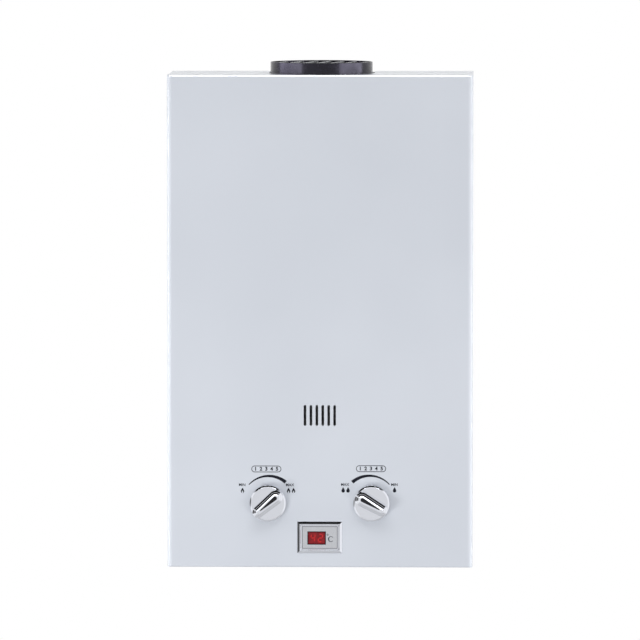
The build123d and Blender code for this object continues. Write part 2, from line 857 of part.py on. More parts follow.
def make_knob(x, angle):
    """A disc with a tapered grip right across it and a recess for the pointer."""
    disc = extrude(knob_plane(x, angle, 0) * Circle(knob_radius), knob_disc_height)
    edge = knob_radius - grip_inset
    nose_at, tail_at = edge - grip_nose_radius, grip_tail_radius - edge
    footprint = tapered_slot(grip_nose_radius, nose_at, grip_tail_radius, tail_at)
    grip = extrude(knob_plane(x, angle, 1) * footprint, grip_top - 1)
    grip = chamfer(grip.faces().sort_by(Axis.Y)[0].edges(), grip_bevel)
    recess = extrude(knob_plane(x, angle, grip_top - pointer_depth) * teardrop(), pointer_depth + 1)
    socket = extrude(shaft_plane(x, knob_back_y + 1) * d_section(running_clearance), knob_socket + 1)
    return disc + grip - recess - socket


def make_pointer(x, angle):
    """The dark inlay in the grip's recess."""
    return extrude(knob_plane(x, angle, grip_top - pointer_depth) * teardrop(), pointer_depth)


def flange_plate(x):
    """A square flange with its corners cut, across the valve's axis."""
    half = water_flange_side / 2
    plate = block(x, (valve_y - half, valve_y + half), (knob_z - half, knob_z + half))
    return chamfer(plate.edges().filter_by(Axis.X), water_flange_corner)


def make_water_valve_cover():
    cover = flange_plate((water_cover_left, water_cover_right))
    room = plate_thickness + rod_travel + 2 * end_clearance
    recess = (water_cover_right - room, valve_y, knob_z)
    cover -= flat_bar(recess, (water_cover_right, valve_y, knob_z), plate_radius + plate_room)
    start = (water_cover_left - 1, valve_y, knob_z)
    return cover - bar(start, (water_cover_right, valve_y, knob_z), rod_radius + running_clearance)


def make_diaphragm():
    return flange_plate((water_cover_right, water_flange_left))


def make_water_valve_body():
    """Casting with the diaphragm's flange, the outlet stub and the drain's threaded hole."""
    body = valve_casting((water_body_left, water_body_right)) + outlet_stub(water_outlet_x)
    body += flange_plate((water_flange_left, water_body_left))
    body -= spindle_bore(knob_x)
    drain = ((drain_x, drain_y, valve_bottom - 1), (drain_x, drain_y, valve_bottom + 8))
    return body - bar(*drain, drain_radius + running_clearance)


def make_push_rod():
    """Rod from the diaphragm's plate to the gas plunger, with the nut that trips the lever."""
    plate_right = water_cover_right - end_clearance
    plate_left = plate_right - plate_thickness
    ends = ((stem_end_x + seat_gap, valve_y, knob_z), (plate_left + 0.5, valve_y, knob_z))
    rod = flat_bar(*ends, rod_radius)
    rod += flat_bar((plate_left, valve_y, knob_z), (plate_right, valve_y, knob_z), plate_radius)
    nut_right = rod_nut_left + rod_nut_thickness
    # The nut's flat faces up, under the lever's tab.
    plane = Plane(origin=(rod_nut_left, valve_y, knob_z), x_dir=(0, 1, 0), z_dir=(1, 0, 0))
    nut = RegularPolygon(rod_nut_flats / 2, 6, major_radius=False)
    return rod + extrude(plane * nut, nut_right - rod_nut_left)


def make_drain_plug():
    top, bottom = valve_bottom + 7, valve_bottom - 4
    plug = flat_bar((drain_x, drain_y, bottom), (drain_x, drain_y, top), drain_radius)
    return plug + block((drain_x - 5, drain_x + 5), (drain_y - 1.5, drain_y + 1.5), (bottom - 10, bottom))


def pipe_fitting(x):
    """A half-inch pipe end with a hexagon for the spanner."""
    hex_bottom = valve_bottom - fitting_hex_height
    fitting = hexagon((x, valve_y, hex_bottom), (x, valve_y, valve_bottom), fitting_hex)
    fitting += bar((x, valve_y, fitting_end_z), (x, valve_y, hex_bottom), fitting_radius)
    bore = ((x, valve_y, fitting_end_z - 1), (x, valve_y, hex_bottom + fitting_seat))
    return fitting - flat_bar(*bore, fitting_bore, bore_flat_count)


def make_pipe_fittings():
    """Three alike, for the gas, the cold water and the hot water."""
    return Compound(children=[pipe_fitting(x) for x in (gas_inlet_x, water_inlet_x, hot_outlet_x)])


def make_inlet_filter():
    """A gauze cup pushed up into the cold inlet."""
    top = valve_bottom - fitting_hex_height + fitting_seat
    low = (water_inlet_x, valve_y, top - filter_length)
    cup = flat_bar(low, (water_inlet_x, valve_y, top), fitting_bore, bore_flat_count)
    hollow = (low, (water_inlet_x, valve_y, top - filter_floor))
    return cup - flat_bar(*hollow, fitting_bore - filter_wall, bore_flat_count)


def make_micro_switch():
    y = (valve_y - switch_depth / 2, valve_y + switch_depth / 2)
    switch = block((switch_left, switch_left + switch_width), y, (switch_bottom, switch_top))
    for cheek in ((y[0], y[0] + 1.5), (y[1] - 1.5, y[1])):
        switch += block((lever_x - 3, lever_x + 3), cheek, (lever_z - 2, switch_bottom))
    switch += block((lever_x + 4, lever_x + 6), (valve_y - 2, valve_y + 2), (lever_z + 1.3, switch_bottom))
    return switch + flat_bar((lever_x, y[0], lever_z), (lever_x, y[1], lever_z), lever_pin_radius)


def make_switch_lever():
    """Bell crank: one arm under the switch's button, the other beside the rod's nut."""
    y = (valve_y - switch_depth / 2 + 1.7, valve_y + switch_depth / 2 - 1.7)
    lever = flat_bar((lever_x, y[0], lever_z), (lever_x, y[1], lever_z), 1.6, 8)
    lever += block((lever_x, lever_x + lever_arm), y, (lever_z + 0.4, lever_z + 1.2))
    lever += block((lever_x - 0.5, lever_x + 0.7), y, (lever_z - lever_tab, lever_z))
    pin = ((lever_x, y[0] - 1, lever_z), (lever_x, y[1] + 1, lever_z))
    return lever - bar(*pin, lever_pin_radius + running_clearance)


def make_battery_box():
    """A tray for two cells side by side, open below, with a flange up the back panel."""
    x = (box_left, box_right)
    inner_x = (box_left + box_wall, box_right - box_wall)
    y = (panel_y - box_depth, panel_y)
    box = block(x, y, (box_bottom, box_top))
    box -= block(inner_x, (y[0] + box_wall, y[1] - box_wall), (box_bottom - 1, box_top - box_wall))
    for ear in ((x[0], inner_x[0]), (inner_x[1], x[1])):
        box += block(ear, (hinge_y - hinge_ear[0], hinge_y + hinge_ear[1]), (door_bottom, box_bottom))
    # The rear wall stops higher, so the door's knuckle can turn under it.
    box -= block(inner_x, (hinge_y - 2, panel_y), (box_bottom - 1, box_bottom + 2.2))
    box -= flat_bar((x[0], hinge_y, hinge_z), (x[1], hinge_y, hinge_z), hinge_pin_radius)
    return box + block((x[0] + 6, x[1] - 6), (panel_y - 2, panel_y), (box_top, box_top + 12))


def make_battery_door():
    """A lid that swings down about its rear edge, with a locating lip inside."""
    x = (box_left + box_wall + 0.3, box_right - box_wall - 0.3)
    front, step = panel_y - box_depth, hinge_y - hinge_step
    z = (door_bottom, door_bottom + door_thickness)
    door = block((box_left, box_right), (front, step), z) + block(x, (step, hinge_y), z)
    door += flat_bar((x[0], hinge_y, hinge_z), (x[1], hinge_y, hinge_z), hinge_radius)
    lip_y = (front + box_wall + 0.5, front + box_wall + 2)
    door += block((x[0] + 6, x[1] - 6), lip_y, (z[1], z[1] + 4))
    pin = ((x[0] - 1, hinge_y, hinge_z), (x[1] + 1, hinge_y, hinge_z))
    return door - bar(*pin, hinge_pin_radius + running_clearance)


def make_door_pin():
    return flat_bar((box_left, hinge_y, hinge_z), (box_right, hinge_y, hinge_z), hinge_pin_radius)


def cell_depths():
    """The Y of each cell, rear one first."""
    rear = panel_y - box_wall - cell_clearance - cell_radius
    return (rear, rear - 2 * cell_radius - cell_clearance)


def make_batteries():
    """Two size D cells, nose to tail."""
    x = (box_left + box_wall + contact_room, box_right - box_wall - contact_room)
    z = cell_floor + cell_radius
    cells = []
    for k, y in enumerate(cell_depths()):
        can = (x[0], x[1] - cell_nub) if k == 0 else (x[0] + cell_nub, x[1])
        cell = flat_bar((can[0], y, z), (can[1], y, z), cell_radius, cell_flat_count)
        tip = (can[1], x[1]) if k == 0 else (x[0], can[0])
        cells.append(cell + flat_bar((tip[0], y, z), (tip[1], y, z), cell_nub_radius))
    return Compound(children=cells)


def make_battery_contacts():
    """Bent strips between the box's side walls and the cells."""
    z = cell_floor + cell_radius
    strips = []
    for y in cell_depths():
        for wall, side in ((box_left + box_wall, 1), (box_right - box_wall, -1)):
            base = sorted((wall, wall + side * contact_sheet))
            bump = sorted((wall, wall + side * contact_room))
            width = (y - contact_half_width, y + contact_half_width)
            strip = block(base, width, (z - contact_half_height, z + contact_half_height))
            middle = (y - contact_bump_half, y + contact_bump_half)
            strips.append(strip + block(bump, middle, (z - contact_bump_half, z + contact_bump_half)))
    return Compound(children=strips)


def make_igniter_box():
    x = (igniter_left, igniter_left + igniter_width)
    top = igniter_bottom + igniter_height
    case = block(x, (panel_y - igniter_depth, panel_y), (igniter_bottom, top))
    case = chamfer(case.faces().sort_by(Axis.Y)[0].edges(), 3)
    return case + block(x, (panel_y - 2, panel_y), (top, top + 12))


def display_block(half_x, half_z, y):
    return block((-half_x, half_x), y, (display_z - half_z, display_z + half_z))


def make_display_body():
    return display_block(display_half_width, display_half_height, (front_y, front_y + display_depth))


def make_display_bezel():
    """A picture frame with mitred bevels outside."""
    frame = display_block(bezel_width / 2, bezel_height / 2, (front_y - bezel_thickness, front_y))
    frame = chamfer(frame.faces().sort_by(Axis.Y)[0].edges(), bezel_bevel)
    return frame - display_block(panel_width / 2, panel_height / 2, (front_y - bezel_thickness, front_y))


def lens_block(gap, front):
    x, z = lens_width / 2 - gap, lens_height / 2 - gap
    return block((lens_x - x, lens_x + x), (front, front_y), (lens_z - z, lens_z + z))


def make_display_panel():
    front = front_y - panel_thickness
    plate = display_block(panel_width / 2 - display_fit, panel_height / 2 - display_fit, (front, front_y))
    return plate - lens_block(0, front)


def make_display_lens():
    return lens_block(display_fit, front_y - panel_thickness + 0.2)


def make_cover_screws():
    screws = []
    for side in (-1, 1):
        x = side * cover_screw_x
        head = hexagon((x, cover_screw_y, -screw_head_height), (x, cover_screw_y, 0), screw_head)
        shank = flat_bar((x, cover_screw_y, 0), (x, cover_screw_y, screw_length), screw_radius)
        screws.append(head + shank)
    return Compound(children=screws)


def make_parts():
    return {
        "front_cover": make_front_cover(),
        "back_panel": make_back_panel(),
        "flue_hood": make_flue_hood(),
        "flue_collar": make_flue_collar(),
        "flue_grille": make_flue_grille(),
        "exchanger_shell": make_exchanger_shell(),
        "exchanger_tubes": make_exchanger_tubes(),
        "exchanger_fins": make_exchanger_fins(),
        "return_bends": make_return_bends(),
        "exchanger_coil": make_exchanger_coil(),
        "cold_feed_pipe": make_cold_feed_pipe(),
        "hot_outlet_pipe": make_hot_outlet_pipe(),
        "gas_riser": make_gas_riser(),
        "burner_frame": make_burner_frame(),
        "burner_blades": make_burner_blades(),
        "gas_manifold": make_gas_manifold(),
        "gas_nozzles": make_gas_nozzles(),
        "ignition_electrode": make_electrode(electrode_x),
        "flame_sensor": make_electrode(-electrode_x),
        "overheat_thermostat": make_overheat_thermostat(),
        "outlet_temperature_sensor": make_temperature_sensor(),
        "exchanger_bracket": make_chamber_bracket(chamber_bracket_heights[0]),
        "burner_bracket": make_chamber_bracket(chamber_bracket_heights[1]),
        "valve_bracket": make_valve_bracket(),
        "gas_valve_body": make_gas_valve_body(),
        "gas_gland": make_gas_gland(),
        "gas_valve_plunger": make_gas_valve_plunger(),
        "return_spring": make_return_spring(),
        "solenoid_valve": make_solenoid_valve(),
        "gas_spindle": make_spindle(-knob_x),
        "water_flow_spindle": make_spindle(knob_x),
        "temperature_knob": make_knob(-knob_x, gas_knob_angle),
        "temperature_pointer": make_pointer(-knob_x, gas_knob_angle),
        "water_flow_knob": make_knob(knob_x, water_knob_angle),
        "water_flow_pointer": make_pointer(knob_x, water_knob_angle),
        "water_valve_cover": make_water_valve_cover(),
        "diaphragm": make_diaphragm(),
        "water_valve_body": make_water_valve_body(),
        "push_rod": make_push_rod(),
        "drain_plug": make_drain_plug(),
        "pipe_fittings": make_pipe_fittings(),
        "inlet_filter": make_inlet_filter(),
        "micro_switch": make_micro_switch(),
        "switch_lever": make_switch_lever(),
        "battery_box": make_battery_box(),
        "battery_door": make_battery_door(),
        "battery_door_pin": make_door_pin(),
        "batteries": make_batteries(),
        "battery_contacts": make_battery_contacts(),
        "igniter_box": make_igniter_box(),
        "display_bezel": make_display_bezel(),
        "display_panel": make_display_panel(),
        "display_lens": make_display_lens(),
        "display_body": make_display_body(),
        "cover_screws": make_cover_screws(),
    }


def at_datum(shape):
    """The same solids, with the origin midway between the wall screws."""
    lowered = [Pos(0, 0, -wall_hole_z) * solid for solid in shape.solids()]
    return lowered[0] if len(lowered) == 1 else Compound(lowered)


if __name__ == "__main__":
    os.makedirs("parts", exist_ok=True)
    for name, shape in make_parts().items():
        export_step(at_datum(shape), f"parts/{name}.step")
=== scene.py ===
# %% [markdown]
# # A wall-hung gas water heater in a white studio
#
# The heater's working solids come from CAD, packed and posed already, and this lesson dresses them.
# Blender never moves a CAD part: it gives each one a finish, softens its folded edges, and adds what
# sheet metal shops, printers and screw makers add last. Everything is in metres, in the CAD's frame:
# X to the right, the front faces -Y, Z up, and the wall is the plane y = 0.

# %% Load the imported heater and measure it
import json
import math

import bmesh
import bpy
from mathutils import Matrix, Vector


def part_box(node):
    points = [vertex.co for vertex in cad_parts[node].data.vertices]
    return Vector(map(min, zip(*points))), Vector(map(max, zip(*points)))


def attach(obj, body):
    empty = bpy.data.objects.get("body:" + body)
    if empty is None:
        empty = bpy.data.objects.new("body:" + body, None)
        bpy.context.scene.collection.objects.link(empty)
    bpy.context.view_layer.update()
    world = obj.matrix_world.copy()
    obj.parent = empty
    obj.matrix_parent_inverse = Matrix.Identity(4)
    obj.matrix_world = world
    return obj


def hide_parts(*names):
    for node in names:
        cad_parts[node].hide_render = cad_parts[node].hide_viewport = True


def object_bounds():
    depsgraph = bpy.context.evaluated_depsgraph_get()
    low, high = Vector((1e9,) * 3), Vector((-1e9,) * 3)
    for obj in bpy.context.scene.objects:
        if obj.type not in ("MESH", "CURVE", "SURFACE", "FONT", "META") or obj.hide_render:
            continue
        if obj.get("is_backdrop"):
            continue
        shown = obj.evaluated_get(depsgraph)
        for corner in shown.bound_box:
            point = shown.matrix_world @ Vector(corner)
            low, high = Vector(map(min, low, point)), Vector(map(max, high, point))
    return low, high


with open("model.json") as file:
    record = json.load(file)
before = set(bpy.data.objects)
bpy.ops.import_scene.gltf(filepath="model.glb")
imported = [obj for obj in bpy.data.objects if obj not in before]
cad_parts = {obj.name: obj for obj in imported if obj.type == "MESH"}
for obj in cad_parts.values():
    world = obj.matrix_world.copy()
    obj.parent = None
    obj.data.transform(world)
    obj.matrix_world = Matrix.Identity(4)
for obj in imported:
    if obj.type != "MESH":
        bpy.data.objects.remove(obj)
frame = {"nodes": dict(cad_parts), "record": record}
nodes = frame["nodes"]
cad_low, cad_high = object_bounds()

mm = 0.001


def in_mm(sizes):
    """Sizes in metres as millimetres, for printing."""
    return [round(size / mm, 1) for size in sizes]


cover_low, cover_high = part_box("front_cover")
face_y = cover_low.y
print("nodes", len(nodes), "cover", in_mm(cover_high - cover_low), "mm")

# %% [markdown]
# ## The camera
#
# The photograph is a catalogue shot: the casing's sides stay nearly parallel, and only a thin strip of
# its top shows. A near camera would spread the sides, and one without perspective would be too
# perfect. So this is a long lens, seven metres away and a little above the heater. The scale comes
# from the cover, whose 330 mm span 306 pixels, and its bottom edge gives the height.

# %% Place the camera where the photograph was taken
frame_pixels = 640
cover_width_pixels = 306.0
cover_bottom_pixel = 568.6
cover_middle_pixel = 319.8
camera_distance = 7.0
camera_azimuth = math.radians(1.5)
camera_elevation = math.radians(4.0)

pixel = (cover_high.x - cover_low.x) / cover_width_pixels
aim = Vector((
    (frame_pixels / 2 - cover_middle_pixel) * pixel,
    face_y,
    cover_low.z + (cover_bottom_pixel - frame_pixels / 2) * pixel,
))
flat_share = math.cos(camera_elevation)
towards_camera = Vector((
    math.sin(camera_azimuth) * flat_share,
    -math.cos(camera_azimuth) * flat_share,
    math.sin(camera_elevation),
))
camera = bpy.data.objects.new("camera", bpy.data.cameras.new("camera"))
bpy.context.scene.collection.objects.link(camera)
camera.location = aim + towards_camera * camera_distance
camera.rotation_mode = "QUATERNION"
camera.rotation_quaternion = (-towards_camera).to_track_quat("-Z", "Y")
camera.data.sensor_width = 36.0
camera.data.lens = camera.data.sensor_width * camera_distance / (frame_pixels * pixel)
camera.data.clip_end = 60.0
bpy.context.scene.camera = camera
bpy.context.scene.view_settings.view_transform = "Standard"
print("millimetres in a pixel", round(pixel / mm, 4), "lens", round(camera.data.lens, 1))

# %% [markdown]
# ## The white room and its cards
#
# The background is white paper far behind, so the world draws it for the camera and for what is seen
# in a mirror or through glass. What lights the heater is softer: an even grey room. Chrome needs
# something dark to mirror, which could be real boards beside the lamps. Here the boards are drawn in
# the world, because they then throw no shadow and mirrored rays alone meet them: a black card above,
# a dark one at the left, and pale grey ones in front and below. The stripes on the photograph's knobs
# tell where they hang.

# %% A helper that adds shader nodes


def socket_name(word):
    """The label of a shader's socket from a plain keyword, such as coat_weight."""
    return word.replace("_", " ").title().replace("Ior", "IOR")


def add_node(tree, kind, **constants):
    """A shader node of the kind, with the named inputs set."""
    node = tree.nodes.new("ShaderNode" + kind)
    for word, value in constants.items():
        node.inputs[socket_name(word)].default_value = value
    return node


print("coat_weight names the socket", socket_name("coat_weight"))

# %% Start the world and hang its cards
# For each card: where it hangs, between which cosines its soft edge lies, and how bright it is.
cards = (
    ((-0.09, 0.0, 1.0), 0.52, 0.7, 0.015),
    ((-1.0, 0.0, 0.0), 0.9, 0.96, 0.1),
    ((0.0, -1.0, 0.0), 0.6, 0.85, 0.8),
    ((0.1, 0.0, -1.0), 0.5, 0.9, 0.6),
)
world = bpy.data.worlds.new("studio")
bpy.context.scene.world = world
world.use_nodes = True
sky = world.node_tree
sky.nodes.clear()
sky_directions = add_node(sky, "TexCoord").outputs["Generated"]
sky_rays = add_node(sky, "LightPath").outputs


def sky_math(operation, first, second):
    """A calculation with two sockets in the world's tree."""
    made = add_node(sky, "Math")
    made.operation = operation
    sky.links.new(first, made.inputs[0])
    sky.links.new(second, made.inputs[1])
    return made.outputs[0]


def card(direction, begins, full, brightness):
    """How bright the world is towards a card: 1 away from it and its own brightness well inside."""
    facing = add_node(sky, "VectorMath")
    facing.operation = "DOT_PRODUCT"
    facing.inputs[1].default_value = Vector(direction).normalized()
    sky.links.new(sky_directions, facing.inputs[0])
    edge = add_node(sky, "MapRange", from_min=begins, from_max=full, to_min=1.0, to_max=brightness)
    edge.interpolation_type = "SMOOTHSTEP"
    sky.links.new(facing.outputs["Value"], edge.inputs["Value"])
    return edge.outputs["Result"]


all_cards = card(*cards[0])
for settings in cards[1:]:
    all_cards = sky_math("MULTIPLY", all_cards, card(*settings))
print("cards", len(cards))

# %% Mix what is seen with what lights the heater
room_light = 0.4
mirror_rays = sky_math("MAXIMUM", sky_rays["Is Glossy Ray"], sky_rays["Is Transmission Ray"])
seen = sky_math("MAXIMUM", sky_rays["Is Camera Ray"], mirror_rays)
white_level = sky_math("MAXIMUM", sky_rays["Is Camera Ray"], all_cards)
room = add_node(sky, "Background", color=(0.97, 0.985, 1.0, 1.0), strength=room_light)
white = add_node(sky, "Background", color=(1.0, 1.0, 1.0, 1.0))
choose = add_node(sky, "MixShader")
sky.links.new(white_level, white.inputs["Strength"])
sky.links.new(seen, choose.inputs["Fac"])
sky.links.new(room.outputs[0], choose.inputs[1])
sky.links.new(white.outputs[0], choose.inputs[2])
sky.links.new(choose.outputs[0], add_node(sky, "OutputWorld").inputs["Surface"])
print("room light", room_light)

# %% [markdown]
# ## Soft boxes
#
# A wide box high in front lights the flat face evenly. Two low fills lift the face's lower part, and
# a dim wall of light at each side rounds the casing off. Point lamps would leave small hard spots in
# the enamel, so all of them are large rectangles. The fills and walls are kept out of mirrors, so
# that they don't show in the chrome.

# %% Hang the soft boxes


def soft_box(name, place, size, power, target=aim, mirrored=True, only=()):
    """A rectangular lamp that looks at the target; with only, it lights just those pieces."""
    lamp = bpy.data.lights.new(name, "AREA")
    lamp.shape = "RECTANGLE"
    lamp.size, lamp.size_y = size
    lamp.energy = power
    holder = bpy.data.objects.new(name, lamp)
    holder.location = place
    holder.rotation_mode = "QUATERNION"
    holder.rotation_quaternion = (target - Vector(place)).to_track_quat("-Z", "Y")
    holder.visible_glossy = mirrored
    bpy.context.scene.collection.objects.link(holder)
    if only:
        lit_pieces = bpy.data.collections.new(name + "_lights")
        for piece in only:
            lit_pieces.objects.link(piece)
        holder.light_linking.receiver_collection = lit_pieces
    return holder


lower_face = Vector((0, face_y, -0.02))
soft_box("key_box", (0.0, -2.4, 2.6), (3.4, 1.2), 34.5)
soft_box("low_fill_left", (-0.8, -1.4, -0.6), (0.6, 0.5), 8.5, lower_face, False)
soft_box("low_fill_right", (0.8, -1.4, -0.6), (0.6, 0.5), 4.0, lower_face, False)
soft_box("left_wall", (-1.35, -0.5, 0.5), (1.3, 0.6), 2.4, aim, False)
soft_box("right_wall", (1.35, -0.5, 0.5), (1.3, 0.6), 2.4, aim, False)

# %% [markdown]
# ## Lamps for one piece
#
# The casing's bends are white lines in the photograph and its collar mirrors a box at each side. A
# photographer flags a lamp so that it falls on one piece alone. Brighter enamel could fake the lines,
# but then they would stay when the light changes. Blender's light linking is the flag: a strip at
# each side and a box above light only the cover, and two boxes show only in the collar.

# %% Link strips to the cover and boxes to the collar
strip_gap, strip_height = 0.02, 0.04
cover_alone, collar_alone = [nodes["front_cover"]], [nodes["flue_collar"]]
for side, name in ((-1, "left"), (1, "right")):
    strip_place = (side * 1.1, face_y + strip_gap, strip_height)
    strip_target = Vector((0, face_y, strip_height))
    soft_box(f"{name}_edge", strip_place, (0.08, 0.75), 5.0, strip_target, only=cover_alone)
    box_place = (side * 1.2, -0.42, 0.36)
    shine = soft_box(f"{name}_collar_box", box_place, (1.5, 0.7), 20.0, cover_high, only=collar_alone)
    shine.data.color = (0.78, 0.74, 1.0)
top_bend = Vector((0, face_y, cover_high.z))
bend_shine = soft_box("top_edge", (0, -0.35, 1.4), (1.2, 1.1), 120.0, top_bend, only=cover_alone)
bend_shine.visible_diffuse = False
print("lamps", len(bpy.data.lights))

# %% [markdown]
# ## A small kit for finishes
#
# Every finish starts from one Principled shader. Photographs of real surfaces could be wrapped round
# the pieces, but they blur close up and need a flat layout of each mesh. So the finishes are drawn by
# nodes: noise for grain, ramps for colour, bump for relief. What is the same all over the surface is
# set on the shader itself. The coordinates are the object's own, so a grain of one millimetre stays
# one millimetre on every piece.

# %% Helpers that draw grain, tint and relief


def principled(finish):
    """The finish's main shader."""
    return finish.node_tree.nodes["Principled BSDF"]


def new_finish(name, colour, roughness, metallic=0.0, **constants):
    """A Principled material with its constant values on the shader's own sockets."""
    finish = bpy.data.materials.new(name)
    finish.use_nodes = True
    finish.diffuse_color = (*colour, 1.0)
    constants.update(base_color=(*colour, 1.0), roughness=roughness, metallic=metallic)
    for word, value in constants.items():
        principled(finish).inputs[socket_name(word)].default_value = value
    return finish


def grain(finish, size, detail=2.0, stretch=(1.0, 1.0, 1.0)):
    """Noise whose grain has a real size in metres; a stretch below 1 draws it out along that axis."""
    tree = finish.node_tree
    coordinates = add_node(tree, "TexCoord")
    mapping = add_node(tree, "Mapping", scale=stretch)
    noise = add_node(tree, "TexNoise", scale=1.0 / size, detail=detail)
    tree.links.new(coordinates.outputs["Object"], mapping.inputs["Vector"])
    tree.links.new(mapping.outputs["Vector"], noise.inputs["Vector"])
    return noise.outputs["Fac"]


def pattern_of(finish, pattern):
    """A pattern's socket; a pattern given as a size in metres is plain grain of that size."""
    return grain(finish, pattern) if isinstance(pattern, float) else pattern


def tint(finish, pattern, dark, light, span=(0.35, 0.65)):
    """Colours the surface between two colours, where the pattern is low and where it is high."""
    tree = finish.node_tree
    ramp = add_node(tree, "ValToRGB")
    for stop, position, colour in zip(ramp.color_ramp.elements, span, (dark, light)):
        stop.position = position
        stop.color = (*colour, 1.0)
    tree.links.new(pattern_of(finish, pattern), ramp.inputs["Fac"])
    tree.links.new(ramp.outputs["Color"], principled(finish).inputs["Base Color"])


def vary_roughness(finish, pattern, low, high):
    """Spreads the roughness between two values with the pattern."""
    tree = finish.node_tree
    spread = add_node(tree, "MapRange", from_min=0.3, from_max=0.7, to_min=low, to_max=high)
    tree.links.new(pattern_of(finish, pattern), spread.inputs["Value"])
    tree.links.new(spread.outputs["Result"], principled(finish).inputs["Roughness"])


def relief(finish, pattern, depth, strength):
    """Bump of a real depth."""
    tree = finish.node_tree
    bump = add_node(tree, "Bump", distance=depth, strength=strength)
    tree.links.new(pattern_of(finish, pattern), bump.inputs["Height"])
    tree.links.new(bump.outputs["Normal"], principled(finish).inputs["Normal"])


print("finish kit ready")

# %% [markdown]
# ## The floor
#
# The heater hangs on a wall, so the floor is only a sheet of pale paper far below that would take its
# shadow. A shadow catcher would need a second pass over the picture. Plain paper that glows a little
# for the camera alone blends into the white background and lights nothing.

# %% Lay a pale floor below the wall-hung heater
floor_half, floor_drop = 0.6, 1.2
floor_z = cad_low.z - floor_drop
corner_sides = ((-1, -1), (1, -1), (1, 1), (-1, 1))
floor_mesh = bpy.data.meshes.new("floor")
floor_corners = [(sx * floor_half, sy * floor_half, floor_z) for sx, sy in corner_sides]
floor_mesh.from_pydata(floor_corners, [], [(0, 1, 2, 3)])
floor = bpy.data.objects.new("floor", floor_mesh)
bpy.context.scene.collection.objects.link(floor)
floor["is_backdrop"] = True

pale_floor = new_finish("pale_floor", (0.82, 0.82, 0.82), 0.9, emission_color=(1.0, 1.0, 1.0, 1.0))
floor_tree = pale_floor.node_tree
floor_glow = 0.5
camera_glow = add_node(floor_tree, "Math")
camera_glow.operation = "MULTIPLY"
camera_glow.inputs[1].default_value = floor_glow
floor_tree.links.new(add_node(floor_tree, "LightPath").outputs["Is Camera Ray"], camera_glow.inputs[0])
floor_tree.links.new(camera_glow.outputs[0], principled(pale_floor).inputs["Emission Strength"])
floor_mesh.materials.append(pale_floor)
print("floor", round(floor_z, 3))

# %% [markdown]
# ## The enamels
#
# The cover is pressed sheet with a white powder coat: a cool white, barely uneven, with the faint
# orange peel that baked powder keeps and a clear gloss over it. The flue collar has the same coat in
# black, glossier, because it is dipped. A plain white would do from afar, but the soft boxes slide
# over the peel as the heater is turned, and that is what tells enamel from paper.

# %% White and black enamel
white_enamel = new_finish("white_enamel", (0.66, 0.69, 0.75), 0.33, coat_weight=0.25, coat_roughness=0.12)
tint(white_enamel, 180 * mm, (0.645, 0.675, 0.735), (0.675, 0.705, 0.765))
vary_roughness(white_enamel, 40 * mm, 0.3, 0.37)
relief(white_enamel, 1.6 * mm, 0.02 * mm, 0.35)

black_enamel = new_finish("black_enamel", (0.01, 0.01, 0.012), 0.2, specular_ior_level=0.25, coat_weight=0.1)
tint(black_enamel, 25 * mm, (0.005, 0.004, 0.008), (0.01, 0.009, 0.015))
vary_roughness(black_enamel, 8 * mm, 0.18, 0.3)
relief(black_enamel, 1.2 * mm, 0.02 * mm, 0.3)
print("enamels", white_enamel.name, black_enamel.name)

# %% [markdown]
# ## Galvanised sheet, plated steel and copper
#
# Galvanised sheet shows spangles, flat crystals of zinc a centimetre or so across. Noise has no
# straight edges, so a Voronoi pattern draws them: each of its cells is one crystal. Plated brackets
# keep fine lines along the way they were rolled, which is grain drawn out along one axis. Copper
# darkens and reddens with heat, so its stain is coarse and strong.

# %% Sheet steel and copper


def spangle(finish, size):
    """Zinc crystals: each Voronoi cell has its own brightness."""
    tree = finish.node_tree
    crystals = add_node(tree, "TexVoronoi", scale=1.0 / size)
    split = add_node(tree, "SeparateColor")
    tree.links.new(add_node(tree, "TexCoord").outputs["Object"], crystals.inputs["Vector"])
    tree.links.new(crystals.outputs["Color"], split.inputs["Color"])
    return split.outputs["Red"]


galvanised = new_finish("galvanised_steel", (0.58, 0.6, 0.61), 0.42, 0.9)
zinc = spangle(galvanised, 11 * mm)
tint(galvanised, zinc, (0.5, 0.52, 0.53), (0.66, 0.68, 0.69), (0.0, 1.0))
vary_roughness(galvanised, zinc, 0.34, 0.5)
relief(galvanised, 2.5 * mm, 0.02 * mm, 0.4)

rolled = (0.06, 1.0, 1.0)
plated_steel = new_finish("plated_steel", (0.55, 0.56, 0.57), 0.3, 1.0)
tint(plated_steel, 12 * mm, (0.5, 0.51, 0.52), (0.6, 0.61, 0.62))
vary_roughness(plated_steel, grain(plated_steel, 0.6 * mm, stretch=rolled), 0.24, 0.38)
relief(plated_steel, grain(plated_steel, 0.5 * mm, stretch=rolled), 0.01 * mm, 0.3)

copper = new_finish("copper", (0.72, 0.36, 0.22), 0.3, 1.0)
tint(copper, grain(copper, 22 * mm, 6.0), (0.42, 0.19, 0.13), (0.78, 0.42, 0.28), (0.3, 0.6))
vary_roughness(copper, grain(copper, 9 * mm, 4.0), 0.22, 0.48)
relief(copper, 1.5 * mm, 0.02 * mm, 0.4)
print("metals", galvanised.name, plated_steel.name, copper.name)

# %% [markdown]
# ## Brass, aluminium and chrome
#
# Valve bodies are cast and keep the skin of the mould, so brass and aluminium get a fine grain with
# more detail. Chrome is the opposite: plating over polished plastic, almost without grain. A perfect
# mirror looks drawn, though, so it keeps a wide and very shallow waviness.

# %% Cast and plated metals
brass = new_finish("brass", (0.68, 0.5, 0.22), 0.34, 1.0)
tint(brass, grain(brass, 16 * mm, 4.0), (0.52, 0.37, 0.15), (0.74, 0.56, 0.27))
vary_roughness(brass, 5 * mm, 0.26, 0.46)
relief(brass, grain(brass, 1.1 * mm, 3.0), 0.05 * mm, 0.5)

